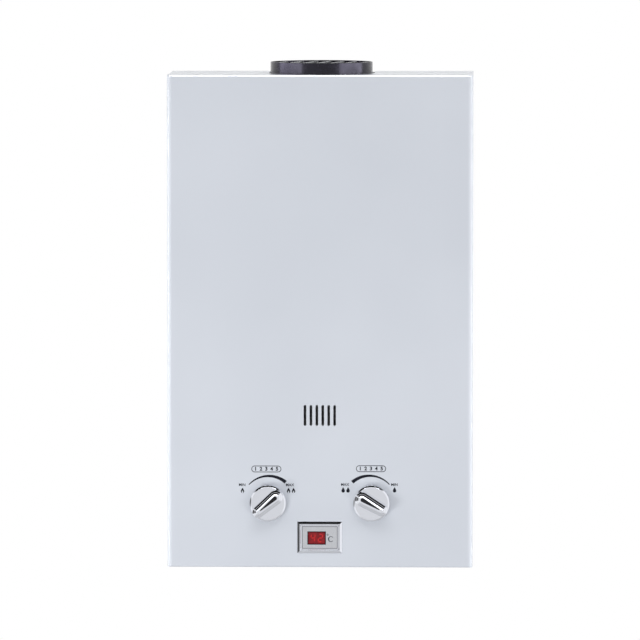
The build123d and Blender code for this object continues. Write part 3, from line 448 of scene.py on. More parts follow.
aluminium = new_finish("aluminium", (0.66, 0.67, 0.68), 0.4, 1.0)
tint(aluminium, grain(aluminium, 14 * mm, 4.0), (0.58, 0.59, 0.6), (0.72, 0.73, 0.74))
vary_roughness(aluminium, 4 * mm, 0.34, 0.5)
relief(aluminium, grain(aluminium, 0.9 * mm, 3.0), 0.04 * mm, 0.5)

chrome = new_finish("chrome", (0.8, 0.82, 0.88), 0.05, 1.0)
vary_roughness(chrome, 6 * mm, 0.04, 0.07)
relief(chrome, 9 * mm, 0.02 * mm, 0.25)
print("metals", brass.name, aluminium.name, chrome.name)

# %% [markdown]
# ## Plastics, rubber, ceramic and print
#
# The small finishes are seen close up when the heater is opened, so each has its own skin: spark
# texture on moulded plastic, bloom on rubber, glaze on ceramic, and the dull skin of pad-printed ink.
# One grey plastic for all would be quicker, and would make the inside look like a toy.

# %% Small finishes
black_plastic = new_finish("black_plastic", (0.025, 0.025, 0.027), 0.5)
tint(black_plastic, 30 * mm, (0.02, 0.02, 0.022), (0.034, 0.034, 0.036))
vary_roughness(black_plastic, 2 * mm, 0.42, 0.58)
relief(black_plastic, 0.5 * mm, 0.03 * mm, 0.5)

rubber = new_finish("rubber", (0.04, 0.04, 0.042), 0.7, sheen_weight=0.2, sheen_roughness=0.5)
tint(rubber, grain(rubber, 10 * mm, 4.0), (0.03, 0.03, 0.032), (0.06, 0.06, 0.062))
relief(rubber, 0.8 * mm, 0.03 * mm, 0.4)

ceramic = new_finish("ceramic", (0.86, 0.84, 0.78), 0.18, coat_weight=0.6, coat_roughness=0.05)
tint(ceramic, grain(ceramic, 5 * mm, 4.0), (0.8, 0.78, 0.71), (0.9, 0.88, 0.83))
relief(ceramic, 1.5 * mm, 0.02 * mm, 0.3)

silver_panel = new_finish("silver_panel", (0.56, 0.57, 0.6), 0.38, 0.35)
tint(silver_panel, 0.7 * mm, (0.52, 0.53, 0.56), (0.6, 0.61, 0.64))
vary_roughness(silver_panel, 0.5 * mm, 0.32, 0.44)

black_inlay = new_finish("black_inlay", (0.012, 0.012, 0.014), 0.3, specular_ior_level=0.15)
tint(black_inlay, 1.5 * mm, (0.01, 0.01, 0.012), (0.02, 0.02, 0.023))

cell_jacket = new_finish("cell_jacket", (0.05, 0.055, 0.065), 0.35, 0.3, coat_weight=0.4)
tint(cell_jacket, 12 * mm, (0.04, 0.045, 0.055), (0.07, 0.075, 0.09))

ink = new_finish("printed_ink", (0.01, 0.011, 0.018), 0.55, specular_ior_level=0.15)
tint(ink, 0.8 * mm, (0.008, 0.009, 0.015), (0.014, 0.015, 0.024))
print("small finishes ready")

# %% [markdown]
# ## The red window
#
# The display is a dark red lens over lit figures. Real glass before a light would be true to the
# object, but it needs many samples and hides thin figures. So the lens is opaque, a nearly black
# painted shade darkens its rim where the frame shades it, and the figures lie on it in a lighter red
# that glows a little.

# %% The window, the painted shade at its rim and what glows in it
red_window = new_finish("red_window", (0.22, 0.012, 0.016), 0.2, specular_ior_level=0.2)
tint(red_window, 6 * mm, (0.17, 0.012, 0.016), (0.27, 0.016, 0.02))

# Painted shade: a nearly black red for the window's edge, where the frame shades it.
window_edge = new_finish("window_edge", (0.03, 0.004, 0.008), 0.4, specular_ior_level=0.1)
tint(window_edge, 4 * mm, (0.02, 0.003, 0.006), (0.04, 0.005, 0.01))

glow_colour = (0.75, 0.05, 0.045, 1.0)
glow = dict(specular_ior_level=0.2, emission_strength=0.1, emission_color=glow_colour)
red_glow = new_finish("red_glow", (0.42, 0.016, 0.02), 0.4, **glow)
tint(red_glow, 2 * mm, (0.38, 0.014, 0.016), (0.46, 0.02, 0.022))
print("display finishes ready")

# %% [markdown]
# ## Finishing the CAD solids
#
# Each node of the CAD is one piece of the heater, and the record says what it is made of. Painting
# node by node would be a long list, so one table turns the record's word into a finish and a loop
# does the rest.

# %% Give every node its finish
finishes = {
    "white_enamel": white_enamel,
    "galvanised_steel": galvanised,
    "black_enamel": black_enamel,
    "copper": copper,
    "steel": plated_steel,
    "brass": brass,
    "aluminium": aluminium,
    "ceramic": ceramic,
    "black_plastic": black_plastic,
    "rubber": rubber,
    "chrome": chrome,
    "black_inlay": black_inlay,
    "silver_panel": silver_panel,
    "red_window": red_window,
    "cell_jacket": cell_jacket,
}
slot_of = {row["node"]: row["material_slot"] for row in frame["record"]["subparts"]}
for name, node in nodes.items():
    node.data.materials.clear()
    node.data.materials.append(finishes[slot_of[name]])
print("finished", len(slot_of), "nodes in", len(set(slot_of.values())), "finishes")

# %% [markdown]
# ## Rounds and folds
#
# A CAD solid arrives as flat facets, and a bent sheet has both rounds that should look round and
# faces that must stay flat. Smoothing everything would blow the flat faces up like cushions. So a
# small group of geometry nodes smooths only where two faces meet at less than a limit.

# %% A node group that smooths the rounds and keeps the folds


def fold_group(limit):
    """Geometry nodes that shade smooth wherever two faces meet at less than the limit."""
    group = bpy.data.node_groups.new("smooth_below_limit", "GeometryNodeTree")
    group.interface.new_socket("Geometry", in_out="INPUT", socket_type="NodeSocketGeometry")
    group.interface.new_socket("Geometry", in_out="OUTPUT", socket_type="NodeSocketGeometry")
    come, go = group.nodes.new("NodeGroupInput"), group.nodes.new("NodeGroupOutput")
    all_smooth = group.nodes.new("GeometryNodeSetShadeSmooth")
    folds = group.nodes.new("GeometryNodeSetShadeSmooth")
    folds.domain = "EDGE"
    folds.inputs["Shade Smooth"].default_value = False
    angle = group.nodes.new("GeometryNodeInputMeshEdgeAngle")
    sharper = group.nodes.new("FunctionNodeCompare")
    sharper.operation = "GREATER_THAN"
    sharper.inputs["B"].default_value = limit
    group.links.new(come.outputs[0], all_smooth.inputs["Geometry"])
    group.links.new(angle.outputs["Unsigned Angle"], sharper.inputs["A"])
    group.links.new(all_smooth.outputs["Geometry"], folds.inputs["Geometry"])
    group.links.new(sharper.outputs["Result"], folds.inputs["Selection"])
    group.links.new(folds.outputs["Geometry"], go.inputs[0])
    return group


round_limit = 35
smooth_below_limit = fold_group(math.radians(round_limit))
print("smooth below", round_limit, "degrees")

# %% [markdown]
# ## Broken edges
#
# Castings and mouldings never have razor edges: a file or the mould's own radius breaks them, and the
# thin line of light along them is what makes them look solid. The bevels could be modelled in CAD,
# but they are too small to matter there. A chain of modifiers makes them here and leaves each mesh
# alone: a weld, the bevel, the folds above, and weighted normals that let the large faces win.

# %% Soften the nodes that are cast or moulded
weld_distance = 0.001 * mm
sharp_limit = math.radians(40)


def shade(piece, edge=0.0):
    """Weld, break the edges by the given width, smooth the rounds and keep flat faces flat."""
    weld = piece.modifiers.new("weld", "WELD")
    weld.merge_threshold = weld_distance
    if edge:
        bevel = piece.modifiers.new("broken_edges", "BEVEL")
        bevel.width = edge
        bevel.segments = 2
        bevel.limit_method = "ANGLE"
        bevel.angle_limit = sharp_limit
        bevel.use_clamp_overlap = True
    folds = piece.modifiers.new("folds", "NODES")
    folds.node_group = smooth_below_limit
    flat = piece.modifiers.new("flat_faces", "WEIGHTED_NORMAL")
    flat.keep_sharp = True
    return piece


# The width of each node's broken edges, in millimetres.
broken_edges = {
    "flue_collar": 0.5,
    "flue_grille": 0.4,
    "gas_valve_body": 0.8,
    "water_valve_body": 0.8,
    "water_valve_cover": 0.6,
    "gas_manifold": 0.5,
    "igniter_box": 0.6,
    "battery_door": 0.3,
    "battery_box": 0.3,
    "micro_switch": 0.3,
    "solenoid_valve": 0.3,
    "display_bezel": 0.25,
    "gas_nozzles": 0.3,
    "burner_blades": 0.4,
}
for name, node in nodes.items():
    shade(node, broken_edges.get(name, 0.0) * mm)
print("broken edges on", len(broken_edges), "nodes")

# %% [markdown]
# ## Pieces made here
#
# New pieces are meshes in the same frame. They could be put together from Blender's own cylinders and
# cubes, but a real knob or cell is a drawn section, and a section is easier to read and to change as
# a short list of sizes. So two helpers make nearly all of them: one stacks closed rings of points
# into a loft, and one turns a profile about an axis.

# %% A helper that links a piece to its body and its finish


def finished_piece(name, mesh, slot, body="heater", finish=None):
    """Links a mesh, gives it its slot's finish or another one, and says which body it rides on."""
    mesh.name = name
    mesh.materials.clear()
    mesh.materials.append(finish or finishes[slot])
    piece = bpy.data.objects.new(name, mesh)
    bpy.context.scene.collection.objects.link(piece)
    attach(piece, body)
    return piece


print("slots to choose from", sorted(finishes))

# %% Helpers that stack, turn and join


def circle_ring(radius, height, steps):
    """Points round the Z axis at one height."""
    angles = [2 * math.pi * k / steps for k in range(steps)]
    return [(radius * math.cos(angle), radius * math.sin(angle), height) for angle in angles]


def stack_rings(rings, place=None):
    """A closed mesh through rings of points, each ring as long as the others, capped at both ends."""
    form = bmesh.new()
    loops = [[form.verts.new(p) for p in ring] for ring in rings]
    count = len(rings[0])
    for lower, upper in zip(loops, loops[1:]):
        for k in range(count):
            form.faces.new((lower[k], lower[(k + 1) % count], upper[(k + 1) % count], upper[k]))
    form.faces.new(list(reversed(loops[0])))
    form.faces.new(loops[-1])
    bmesh.ops.recalc_face_normals(form, faces=form.faces)
    mesh = bpy.data.meshes.new("stack")
    form.to_mesh(mesh)
    form.free()
    if place is not None:
        mesh.transform(place)
    return mesh


def turned(profile, steps, place=None):
    """A solid turned about Z from (radius, height) pairs."""
    return stack_rings([circle_ring(radius, height, steps) for radius, height in profile], place)


def joined(meshes):
    """One mesh from several closed ones."""
    form = bmesh.new()
    for mesh in meshes:
        form.from_mesh(mesh)
        bpy.data.meshes.remove(mesh)
    together = bpy.data.meshes.new("joined")
    form.to_mesh(together)
    form.free()
    return together


print("a ring of four", circle_ring(1.0, 0.0, 4)[0])

# %% [markdown]
# ## The two chrome knobs
#
# Each knob is a plated moulding: a shallow disc and across it a grip that tapers from a round nose to
# a narrower tail. Chrome has no colour of its own and shows only what it mirrors, so the knob is a
# row of slopes. Two slopes near 41 degrees mirror the black card above as two dark stripes with a
# light step between them, and the bevel at the top mirrors a lamp as a white band. Such slopes can't
# be held by a rounded box or a subdivided one, so the grip is a loft: one outline round two circles,
# which shrinks by a known amount at each height.

# %% The grip's outline and the knob's levels
grip_nose = 7.8 * mm
grip_tail = 6.3 * mm
grip_inset = 0.2 * mm
grip_steps = 14
# Each level: its height and how far the outline has drawn in there, in millimetres.
grip_levels = [
    (6.4, 0.0),
    (18.0, -0.15),
    (18.1, -0.2),
    (19.6, -1.9),
    (19.62, -2.2),
    (21.0, -3.8),
    (21.05, -3.9),
    (21.55, -5.2),
    (21.6, -5.45),
]
# The disc's section as radius and height, in millimetres.
disc_profile = [
    (18.6, 0.0),
    (19.3, 0.2),
    (19.5, 0.7),
    (19.5, 5.65),
    (19.4, 5.85),
    (17.8, 6.93),
    (17.6, 7.0),
]


def grip_outline(nose, tail, nose_at, tail_at):
    """Points round two circles on the Y axis, the nose at the far end and the tail at the near one."""
    lean = math.asin((nose - tail) / (nose_at - tail_at))
    points = []
    for radius, middle, start, sweep in (
        (nose, nose_at, -lean, math.pi + 2 * lean),
        (tail, tail_at, math.pi + lean, math.pi - 2 * lean),
    ):
        for k in range(grip_steps + 1):
            angle = start + sweep * k / grip_steps
            points.append((radius * math.cos(angle), middle + radius * math.sin(angle)))
    return points


print("grip levels", len(grip_levels), "points round it", 2 * (grip_steps + 1))

# %% Loft the grips, turn the discs and set them on their spindles


def knob_place(node, pointer):
    """The knob's frame: Z out of the cover, Y along the pointer, turned clockwise from up."""
    low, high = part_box(node)
    origin = Vector(((low.x + high.x) / 2, high.y, (low.z + high.z) / 2))
    lean = math.radians(pointer)
    across = Vector((math.cos(lean), 0, -math.sin(lean)))
    along = Vector((math.sin(lean), 0, math.cos(lean)))
    out = Vector((0, -1, 0))
    turn = Matrix((across, along, out)).transposed().to_4x4()
    return Matrix.Translation(origin) @ turn, (high.x - low.x) / 2


def make_knob(name, node, body, pointer):
    """A disc with a grip across it, in place of the CAD's plainer knob."""
    place, radius = knob_place(node, pointer)
    nose_at, tail_at = radius - grip_inset - grip_nose, grip_tail + grip_inset - radius
    rings = []
    for height, offset in grip_levels:
        outline = grip_outline(grip_nose + offset * mm, grip_tail + offset * mm, nose_at, tail_at)
        rings.append([(x, y, height * mm) for x, y in outline])
    disc = turned([(r * mm, h * mm) for r, h in disc_profile], 96, place)
    knob = finished_piece(name, joined([disc, stack_rings(rings, place)]), "chrome", body)
    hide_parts(node)
    return shade(knob)


# For each knob: its name, the body it turns with, and where its pointer stands, in degrees from up.
knob_rows = (
    ("temperature", "temperature_control", 50.0),
    ("water_flow", "water_flow_control", -60.0),
)
knobs = [make_knob(f"{name}_knob_chrome", f"{name}_knob", body, angle) for name, body, angle in knob_rows]
soft_box("knob_shine", (0.0, -1.75, 0.95), (2.6, 0.42), 6.0, lower_face, only=knobs)
print("knobs", [knob.name for knob in knobs])

# %% [markdown]
# ## The black drops on the knobs
#
# A black drop is inlaid along each grip and points at the scale. It could be painted on the chrome
# with a mask, but a mask has soft edges close up. So it is a thin piece of its own, made with the
# same outline function as the grip: a round head and a very thin tail.

# %% Inlay the drops
pointer_head, pointer_tail = 2.1 * mm, 0.5 * mm
pointer_head_at, pointer_tail_at = 10.8 * mm, -9.6 * mm
inlay_depth = 0.8 * mm
pointer_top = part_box("temperature_pointer")[0].y
for name, body, angle in knob_rows:
    place, _ = knob_place(f"{name}_knob", angle)
    drop = grip_outline(pointer_head, pointer_tail, pointer_head_at, pointer_tail_at)
    rise = place.translation.y - pointer_top
    rings = [[(x, y, height) for x, y in drop] for height in (rise - inlay_depth, rise)]
    inlay = finished_piece(f"{name}_inlay", stack_rings(rings, place), "black_inlay", body)
    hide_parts(f"{name}_pointer")
print("inlays", len(knob_rows))

# %% [markdown]
# ## What is printed on the face
#
# A pad printer lays ink a few hundredths of a millimetre thick. A picture mapped on the cover would
# be the usual way, but it blurs close up and needs a file. Each mark here is a flat outline, filled
# and given the ink's thickness, so it is real geometry that can't flicker against the enamel. The
# scales have plain numbers and the ends MIN and MAX; flames and drops are plain signs.

# %% Fill outlines with ink
ink_thickness = 0.04 * mm


def filled_mesh(curve):
    """Turns a flat curve, drawn in X and Y, into a mesh as thick as ink that faces -Y."""
    curve.dimensions = "2D"
    curve.fill_mode = "BOTH"
    curve.extrude = ink_thickness / 2
    holder = bpy.data.objects.new("print", curve)
    bpy.context.scene.collection.objects.link(holder)
    bpy.context.view_layer.update()
    mesh = bpy.data.meshes.new_from_object(holder.evaluated_get(bpy.context.evaluated_depsgraph_get()))
    mesh.transform(Matrix.Rotation(math.pi / 2, 4, "X"))
    bpy.data.objects.remove(holder)
    bpy.data.curves.remove(curve)
    return mesh


def outline_mesh(outlines):
    """A flat piece from closed outlines of (X, Z); an outline inside another one is a hole."""
    curve = bpy.data.curves.new("outline", "CURVE")
    for outline in outlines:
        spline = curve.splines.new("POLY")
        spline.points.add(len(outline) - 1)
        for point, (x, z) in zip(spline.points, outline):
            point.co = (x, z, 0, 1)
        spline.use_cyclic_u = True
    return filled_mesh(curve)


print("ink", ink_thickness / mm, "mm thick")

# %% Letter it and lay it on the face


def lettering_mesh(words, height, weight=0.09 * mm):
    """Figures or letters about their middle: capitals of the given height, strokes made bolder."""
    capital_share = 0.73
    curve = bpy.data.curves.new("lettering", "FONT")
    curve.offset = weight
    curve.body = words
    curve.size = height / capital_share
    curve.align_x, curve.align_y = "CENTER", "CENTER"
    return filled_mesh(curve)


def print_on_face(name, mesh, x, z, slot="black_inlay", finish=ink, front=face_y):
    """Lays a flat mesh on a surface that faces the viewer."""
    mesh.transform(Matrix.Translation((x, front - ink_thickness / 2, z)))
    return finished_piece(name, mesh, slot, finish=finish)


def photo_place(px, py):
    """Where a pixel of the photograph lies on the cover's face."""
    return (px - cover_middle_pixel) * pixel, cover_low.z + (cover_bottom_pixel - py) * pixel


print("the face's middle pixel lies at", in_mm(photo_place(cover_middle_pixel, frame_pixels / 2)))

# %% [markdown]
# ## The scales
#
# Round each knob runs an arc that swells from little to much. A curve with a round bevel would have
# the same width all along, so the arc is an outline: its outer edge there and its inner edge back,
# with the width growing on the way.

# %% Scales round the knobs


def crescent(radius, start, end, start_width, end_width, steps=40):
    """An arc that swells from one width to the other; angles run clockwise from up."""
    outer, inner = [], []
    for k in range(steps + 1):
        share = k / steps
        angle = math.radians(start + (end - start) * share)
        half = (start_width + (end_width - start_width) * share) / 2
        outer.append(((radius + half) * math.sin(angle), (radius + half) * math.cos(angle)))
        inner.append(((radius - half) * math.sin(angle), (radius - half) * math.cos(angle)))
    return outer + inner[::-1]


arc_radius = 28.7 * mm
thin_end, thick_end = 1.0 * mm, 3.8 * mm
for name, middle, angles, widths in (
    ("temperature_scale", (268.5, 503.4), (-48, 40), (thin_end, thick_end)),
    ("water_flow_scale", (369.8, 502.9), (-41, 48), (thick_end, thin_end)),
):
    arc = outline_mesh([crescent(arc_radius, *angles, *widths)])
    print_on_face(name, arc, *photo_place(*middle))
print("scales of radius", round(arc_radius / mm, 1))

# %% [markdown]
# ## Numbers and labels
#
# Above each scale stands a pill with plain numbers in it, and at its ends MIN and MAX. A pill is a
# stadium outline with a smaller one in it as a hole. The lettering is Blender's own text, made bolder
# by an offset, because thin strokes vanish at this size.

# %% Pills with plain numbers, and the ends of each scale


def stadium(width, height, steps=12):
    """A rectangle with half-round ends."""
    radius = height / 2
    straight = width / 2 - radius
    points = []
    for side in (1, -1):
        for k in range(steps + 1):
            angle = math.pi * (k / steps - 0.5)
            points.append((side * (straight + radius * math.cos(angle)), side * radius * math.sin(angle)))
    return points


pill_width, pill_height, pill_line = 32.4 * mm, 7.2 * mm, 0.7 * mm
figure_height = 4.0 * mm
figure_weight = 0.22 * mm
label_height = 3.0 * mm
for name, middle in {"temperature": (266.2, 469.7), "water_flow": (371.1, 469.2)}.items():
    x, z = photo_place(*middle)
    hole = stadium(pill_width - 2 * pill_line, pill_height - 2 * pill_line)
    print_on_face(f"{name}_pill", outline_mesh([stadium(pill_width, pill_height), hole]), x, z)
    print_on_face(f"{name}_figures", lettering_mesh("1  2  3  4  5", figure_height, figure_weight), x, z)
for name, words, middle in (
    ("temperature_low", "MIN", (242.0, 485.8)),
    ("temperature_high", "MAX", (289.8, 485.8)),
    ("water_high", "MAX", (345.0, 485.3)),
    ("water_low", "MIN", (394.5, 485.3)),
):
    print_on_face(name, lettering_mesh(words, label_height), *photo_place(*middle))
print("labels printed")

# %% [markdown]
# ## Flames and drops
#
# One flame or drop means little and two mean much. Both signs come from one formula, a circle that
# is pinched towards its top, so nothing is traced: the flame is a drop with a smaller one cut out.

# %% Print the signs
drop_pinch = 1.4
# The tongue as shares of the flame: its width, its height and how far it sits below the middle.
tongue_width, tongue_height, tongue_drop = 0.45, 0.5, 0.26


def drop_outlines(width, height, steps=24):
    """A drop: round below and drawn up to a point."""
    points = []
    for k in range(steps):
        angle = 2 * math.pi * k / steps
        x = width / 2 * math.sin(angle) * math.sin(angle / 2) ** drop_pinch
        points.append((x, height / 2 * math.cos(angle)))
    return [points]


def flame_outlines(width, height):
    """A flame: a drop with a smaller tongue cut out of it near the foot."""
    outer = drop_outlines(width, height)[0]
    tongue = [(x * tongue_width, z * tongue_height - height * tongue_drop) for x, z in outer]
    return [outer, tongue]


sign_width, sign_height = 5.2 * mm, 6.0 * mm
signs = (
    ("flame_low", flame_outlines, (242.3, 491.2)),
    ("flame_high_1", flame_outlines, (288.5, 491.2)),
    ("flame_high_2", flame_outlines, (293.5, 491.2)),
    ("drop_high_1", drop_outlines, (343.2, 490.5)),
    ("drop_high_2", drop_outlines, (348.1, 490.5)),
    ("drop_low", drop_outlines, (394.7, 490.3)),
)
for name, outlines, middle in signs:
    print_on_face(name, outline_mesh(outlines(sign_width, sign_height)), *photo_place(*middle))
print("signs", len(signs))

# %% [markdown]
# ## The lit figures
#
# Behind the red window sit two figures of seven segments each. A font could write them, but the
# segments of a display have pointed ends and small gaps between them. So each lit segment is a bar
# between two corners of the figure, and the whole figure leans a little to the right.

# %% Measure the window and draw one segment


def box_of(node):
    """A node's low corner, high corner and middle."""
    low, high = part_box(node)
    return low, high, (low + high) / 2


lens_low, lens_high, lens_middle = box_of("display_lens")
bar_width, bar_gap = 1.35 * mm, 0.18 * mm


def bar_outline(start, end):
    """A segment with pointed ends between two corners of the figure."""
    along = (Vector(end) - Vector(start)).normalized()
    across = Vector((-along.y, along.x)) * bar_width / 2
    a, b = Vector(start) + along * bar_gap, Vector(end) - along * bar_gap
    inset = along * bar_width / 2
    return [a, a + inset + across, b - inset + across, b, b - inset - across, a + inset - across]


print("window", in_mm(lens_high - lens_low))

# %% Light the figures
figure_width, figure_tall, figure_step = 5.4 * mm, 9.4 * mm, 8.2 * mm
figure_lean = math.tan(math.radians(6))
lit = {"2": "abged", "4": "fgbc"}


def figure_bars(figure):
    """The lit segments of one figure, about its middle and leaning a little to the right."""
    x, z = figure_width / 2 - bar_width / 2, figure_tall / 2 - bar_width / 2
    ends = {
        "a": ((-x, z), (x, z)),
        "b": ((x, z), (x, 0)),
        "c": ((x, 0), (x, -z)),
        "d": ((-x, -z), (x, -z)),
        "e": ((-x, 0), (-x, -z)),
        "f": ((-x, z), (-x, 0)),
        "g": ((-x, 0), (x, 0)),
    }
    bars = [bar_outline(*ends[segment]) for segment in lit[figure]]
    return [[(p.x + p.y * figure_lean, p.y) for p in bar] for bar in bars]


for k, figure in enumerate("42"):
    x = lens_middle.x + (k - 0.5) * figure_step
    bars = outline_mesh(figure_bars(figure))
    print_on_face(f"display_figure_{k + 1}", bars, x, lens_middle.z, "red_window", red_glow, lens_low.y)
print("figure", in_mm((figure_width, figure_tall)))

# %% [markdown]
# ## The window's rim and the panel's line
#
# Painted shade darkens the window's edge, where the frame shades it, and an engraved line runs round
# the silver panel just inside its frame. Cutting a groove would need a finer mesh, and both are
# narrower than a millimetre or so. A flat ring in a dark colour makes each.

# %% Draw the painted shade round the window and the panel's line
panel_low, panel_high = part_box("display_panel")
unit_grey = new_finish("unit_grey", (0.05, 0.055, 0.07), 0.5, specular_ior_level=0.2)
tint(unit_grey, 0.8 * mm, (0.04, 0.045, 0.06), (0.06, 0.066, 0.08))
line_grey = new_finish("line_grey", (0.08, 0.085, 0.1), 0.5, specular_ior_level=0.2)
tint(line_grey, 0.8 * mm, (0.07, 0.075, 0.09), (0.1, 0.105, 0.12))


def rectangle_rim(half_x, half_z, width, corner=0.0, steps=6):
    """A rectangular ring as two outlines, with its corners rounded."""
    outlines = []
    for inset in (0.0, width):
        radius = max(corner - inset, 0.01 * mm)
        hx, hz = half_x - inset - radius, half_z - inset - radius
        points = []
        for quarter, (sx, sz) in enumerate(((1, 1), (-1, 1), (-1, -1), (1, -1))):
            for k in range(steps + 1):
                angle = math.pi / 2 * (quarter + k / steps)
                points.append((sx * hx + radius * math.cos(angle), sz * hz + radius * math.sin(angle)))
        outlines.append(points)
    return outlines


rim_out, rim_width, line_width = 0.5 * mm, 1.1 * mm, 0.6 * mm
lens_half = (lens_high - lens_low) / 2
# A ring of painted shade round the window's edge, where the frame shades it.
rim = outline_mesh(rectangle_rim(lens_half.x + rim_out, lens_half.z + rim_out, rim_width))
rim_front = min(lens_low.y, panel_low.y)
print_on_face("window_shade_ring", rim, lens_middle.x, lens_middle.z, "red_window", window_edge, rim_front)

bezel_low, bezel_high, bezel_middle = box_of("display_bezel")
bezel_half = (bezel_high - bezel_low) / 2
bezel_rim = 4.9 * mm
line = outline_mesh(rectangle_rim(bezel_half.x - bezel_rim, bezel_half.z - bezel_rim, line_width, line_width))
print_on_face("panel_line", line, bezel_middle.x, bezel_middle.z, "silver_panel", line_grey, panel_low.y)
print("panel", in_mm(panel_high - panel_low))

# %% [markdown]
# ## The unit
#
# Beside the window stands the sign for degrees. Blender's own letter is as thick all round, where the
# printed one swells at the left. So the letter is an open ring whose width follows the angle, and the
# small circle is a plain ring.

# %% Print the unit beside the window
stroke_swell = 1.2


def open_ring(radius, thick, thin, opening, steps=40):
    """A letter C as a ring whose stroke is thickest at the left and which is open at the right."""
    outer, inner = [], []
    for k in range(steps + 1):
        angle = math.radians(opening + (360 - 2 * opening) * k / steps)
        width = thin + (thick - thin) * max(0.0, -math.cos(angle)) ** stroke_swell
        outer.append((radius * math.cos(angle), radius * math.sin(angle)))
        inner.append(((radius - width) * math.cos(angle), (radius - width) * math.sin(angle)))
    return outer + inner[::-1]


degree_rings = [[(x, z) for x, z, _ in circle_ring(radius * mm, 0, 24)] for radius in (1.0, 0.5)]
for name, outlines, middle in (
    ("unit_letter", [open_ring(3.1 * mm, 1.3 * mm, 0.6 * mm, 40)], (330.9, 540.0)),
    ("unit_degree", degree_rings, (327.6, 535.6)),
):
    sign = outline_mesh(outlines)
    print_on_face(name, sign, *photo_place(*middle), "silver_panel", unit_grey, panel_low.y)
print("unit printed")

# %% [markdown]
# ## The display's chrome frame
#
# The frame is one plated moulding with mitred corners. Outside it slopes, so its top and left mirror
# the black cards. Then comes a flat ridge, and inside it slopes down again to the panel. Four bars
# would leave seams at the corners, so one section is carried round them as a closed ring.

# %% Carry the frame's section round its corners


def column_mesh(columns):
    """A closed ring through columns of points that are as long as each other."""
    form = bmesh.new()
    grid = [[form.verts.new(p) for p in column] for column in columns]
    for near, far in zip(grid, grid[1:] + grid[:1]):
        for k in range(len(near)):
            nxt = (k + 1) % len(near)
            form.faces.new((near[k], far[k], far[nxt], near[nxt]))
    bmesh.ops.recalc_face_normals(form, faces=form.faces)
    mesh = bpy.data.meshes.new("columns")
    form.to_mesh(mesh)
    form.free()
    return mesh


# The section as distance inwards from the outer edge and height above the cover, in millimetres.
bezel_section = [
    (0.0, 0.0),
    (0.0, 0.6),
    (2.2, 2.45),
    (2.4, 2.6),
    (2.9, 2.6),
    (3.05, 2.5),
    (3.8, 1.6),
    (bezel_rim / mm, 1.45),
    (bezel_rim / mm, 0.0),
]
columns = []
for sx, sz in ((1, 1), (-1, 1), (-1, -1), (1, -1)):
    column = []
    for inset, height in bezel_section:
        x = bezel_middle.x + sx * (bezel_half.x - inset * mm)
        z = bezel_middle.z + sz * (bezel_half.z - inset * mm)
        column.append((x, bezel_high.y - height * mm, z))
    columns.append(column)
bezel = finished_piece("display_frame_chrome", column_mesh(columns), "chrome")
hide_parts("display_bezel")
shade(bezel)
print("frame", in_mm(bezel_high - bezel_low))

# %% [markdown]
# ## Threads on the pipe ends
#
# The three pipe ends are half-inch male threads below a hexagon. The Screw modifier could wind a
# profile round them, but its start and end would stay open. A thread is a ridge that climbs one pitch
# in each turn, so its radius is a saw of height minus turn. A grid round the pipe samples that saw,
# and the mesh stays closed. The crests keep the CAD's radius.

# %% Cut the threads
thread_pitch = 1.814 * mm
thread_depth = 1.16 * mm
thread_crest = 10.48 * mm
fitting_bore = 7.5 * mm
thread_steps = 36
rows_in_pitch = 4
run_in = 1 * mm


def thread_radius(crest, height, turn):
    """The thread's radius at a height and a share of a turn."""
    phase = (height / thread_pitch - turn) % 1.0
    return crest - thread_depth * abs(2 * phase - 1)


def threaded_end(crest, bottom, top, x, y):
    """Columns round a pipe end: its bore and the thread outside, up into the hexagon."""
    rows = int((top - bottom) / thread_pitch * rows_in_pitch)
    outline = []
    for k in range(thread_steps):
        turn = k / thread_steps
        angle = 2 * math.pi * turn
        column = [(fitting_bore, top + run_in), (fitting_bore, bottom), (crest - thread_depth, bottom)]
        for row in range(1, rows):
            height = bottom + (top - bottom) * row / rows
            column.append((thread_radius(crest, height - bottom, turn), height))
        column.append((crest - thread_depth, top + run_in))
        outline.append([(x + r * math.cos(angle), y + r * math.sin(angle), z) for r, z in column])
    return outline


print("thread pitch", round(thread_pitch / mm, 3), "mm")

# %% Set a hexagon on each end
hex_height, hex_across = 10.0 * mm, 24.0 * mm


def towards(place, direction):
    """A frame at the place whose Z runs along the direction."""
    return Matrix.Translation(Vector(place)) @ Vector(direction).to_track_quat("Z", "Y").to_matrix().to_4x4()


def hexagon_mesh(across, height, place, corner_cut=0.93):
    """A spanner hexagon along the place's Z, with its corners turned off at both ends."""
    corner = across / math.sqrt(3)
    levels = ((0, corner_cut), (0.09, 1.0), (0.91, 1.0), (1, corner_cut))
    return stack_rings([circle_ring(corner * share, height * level, 6) for level, share in levels], place)


fitting_low, fitting_high, fitting_middle = box_of("pipe_fittings")
pipe_y = fitting_middle.y
hex_bottom = fitting_high.z - hex_height
fitting_places = (-125 * mm, -78 * mm, 56 * mm)
ends = []
for x in fitting_places:
    ends.append(column_mesh(threaded_end(thread_crest, fitting_low.z, hex_bottom, x, pipe_y)))
    ends.append(hexagon_mesh(hex_across, hex_height, towards((x, pipe_y, hex_bottom), (0, 0, 1))))
threads = shade(finished_piece("threaded_ends", joined(ends), "brass"))
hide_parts("pipe_fittings")
print("threaded ends", len(fitting_places))

# %% [markdown]
# ## The cover's screws
#
# Two pan-head screws hold the cover from below. A pan head is a low dome with a cross driven into it.
# Cutting the cross with a Boolean leaves long thin faces that shade badly, so the dome is turned on a
# polar grid and the points that fall inside the cross are pushed down.

# %% Pan-head screws
screw_steps = 24
head_shares = (1.0, 0.98, 0.86, 0.72, 0.58, 0.44, 0.3, 0.15, 0.02)
# Shares of the head: the cross's half width, reach and depth, and the height of the rim.
cross_half, cross_reach, cross_depth, rim_share = 0.13, 0.62, 0.45, 0.2
shank_share, tip_share = 0.55, 0.5
tip_length, shank_overlap = 0.4 * mm, 0.1 * mm


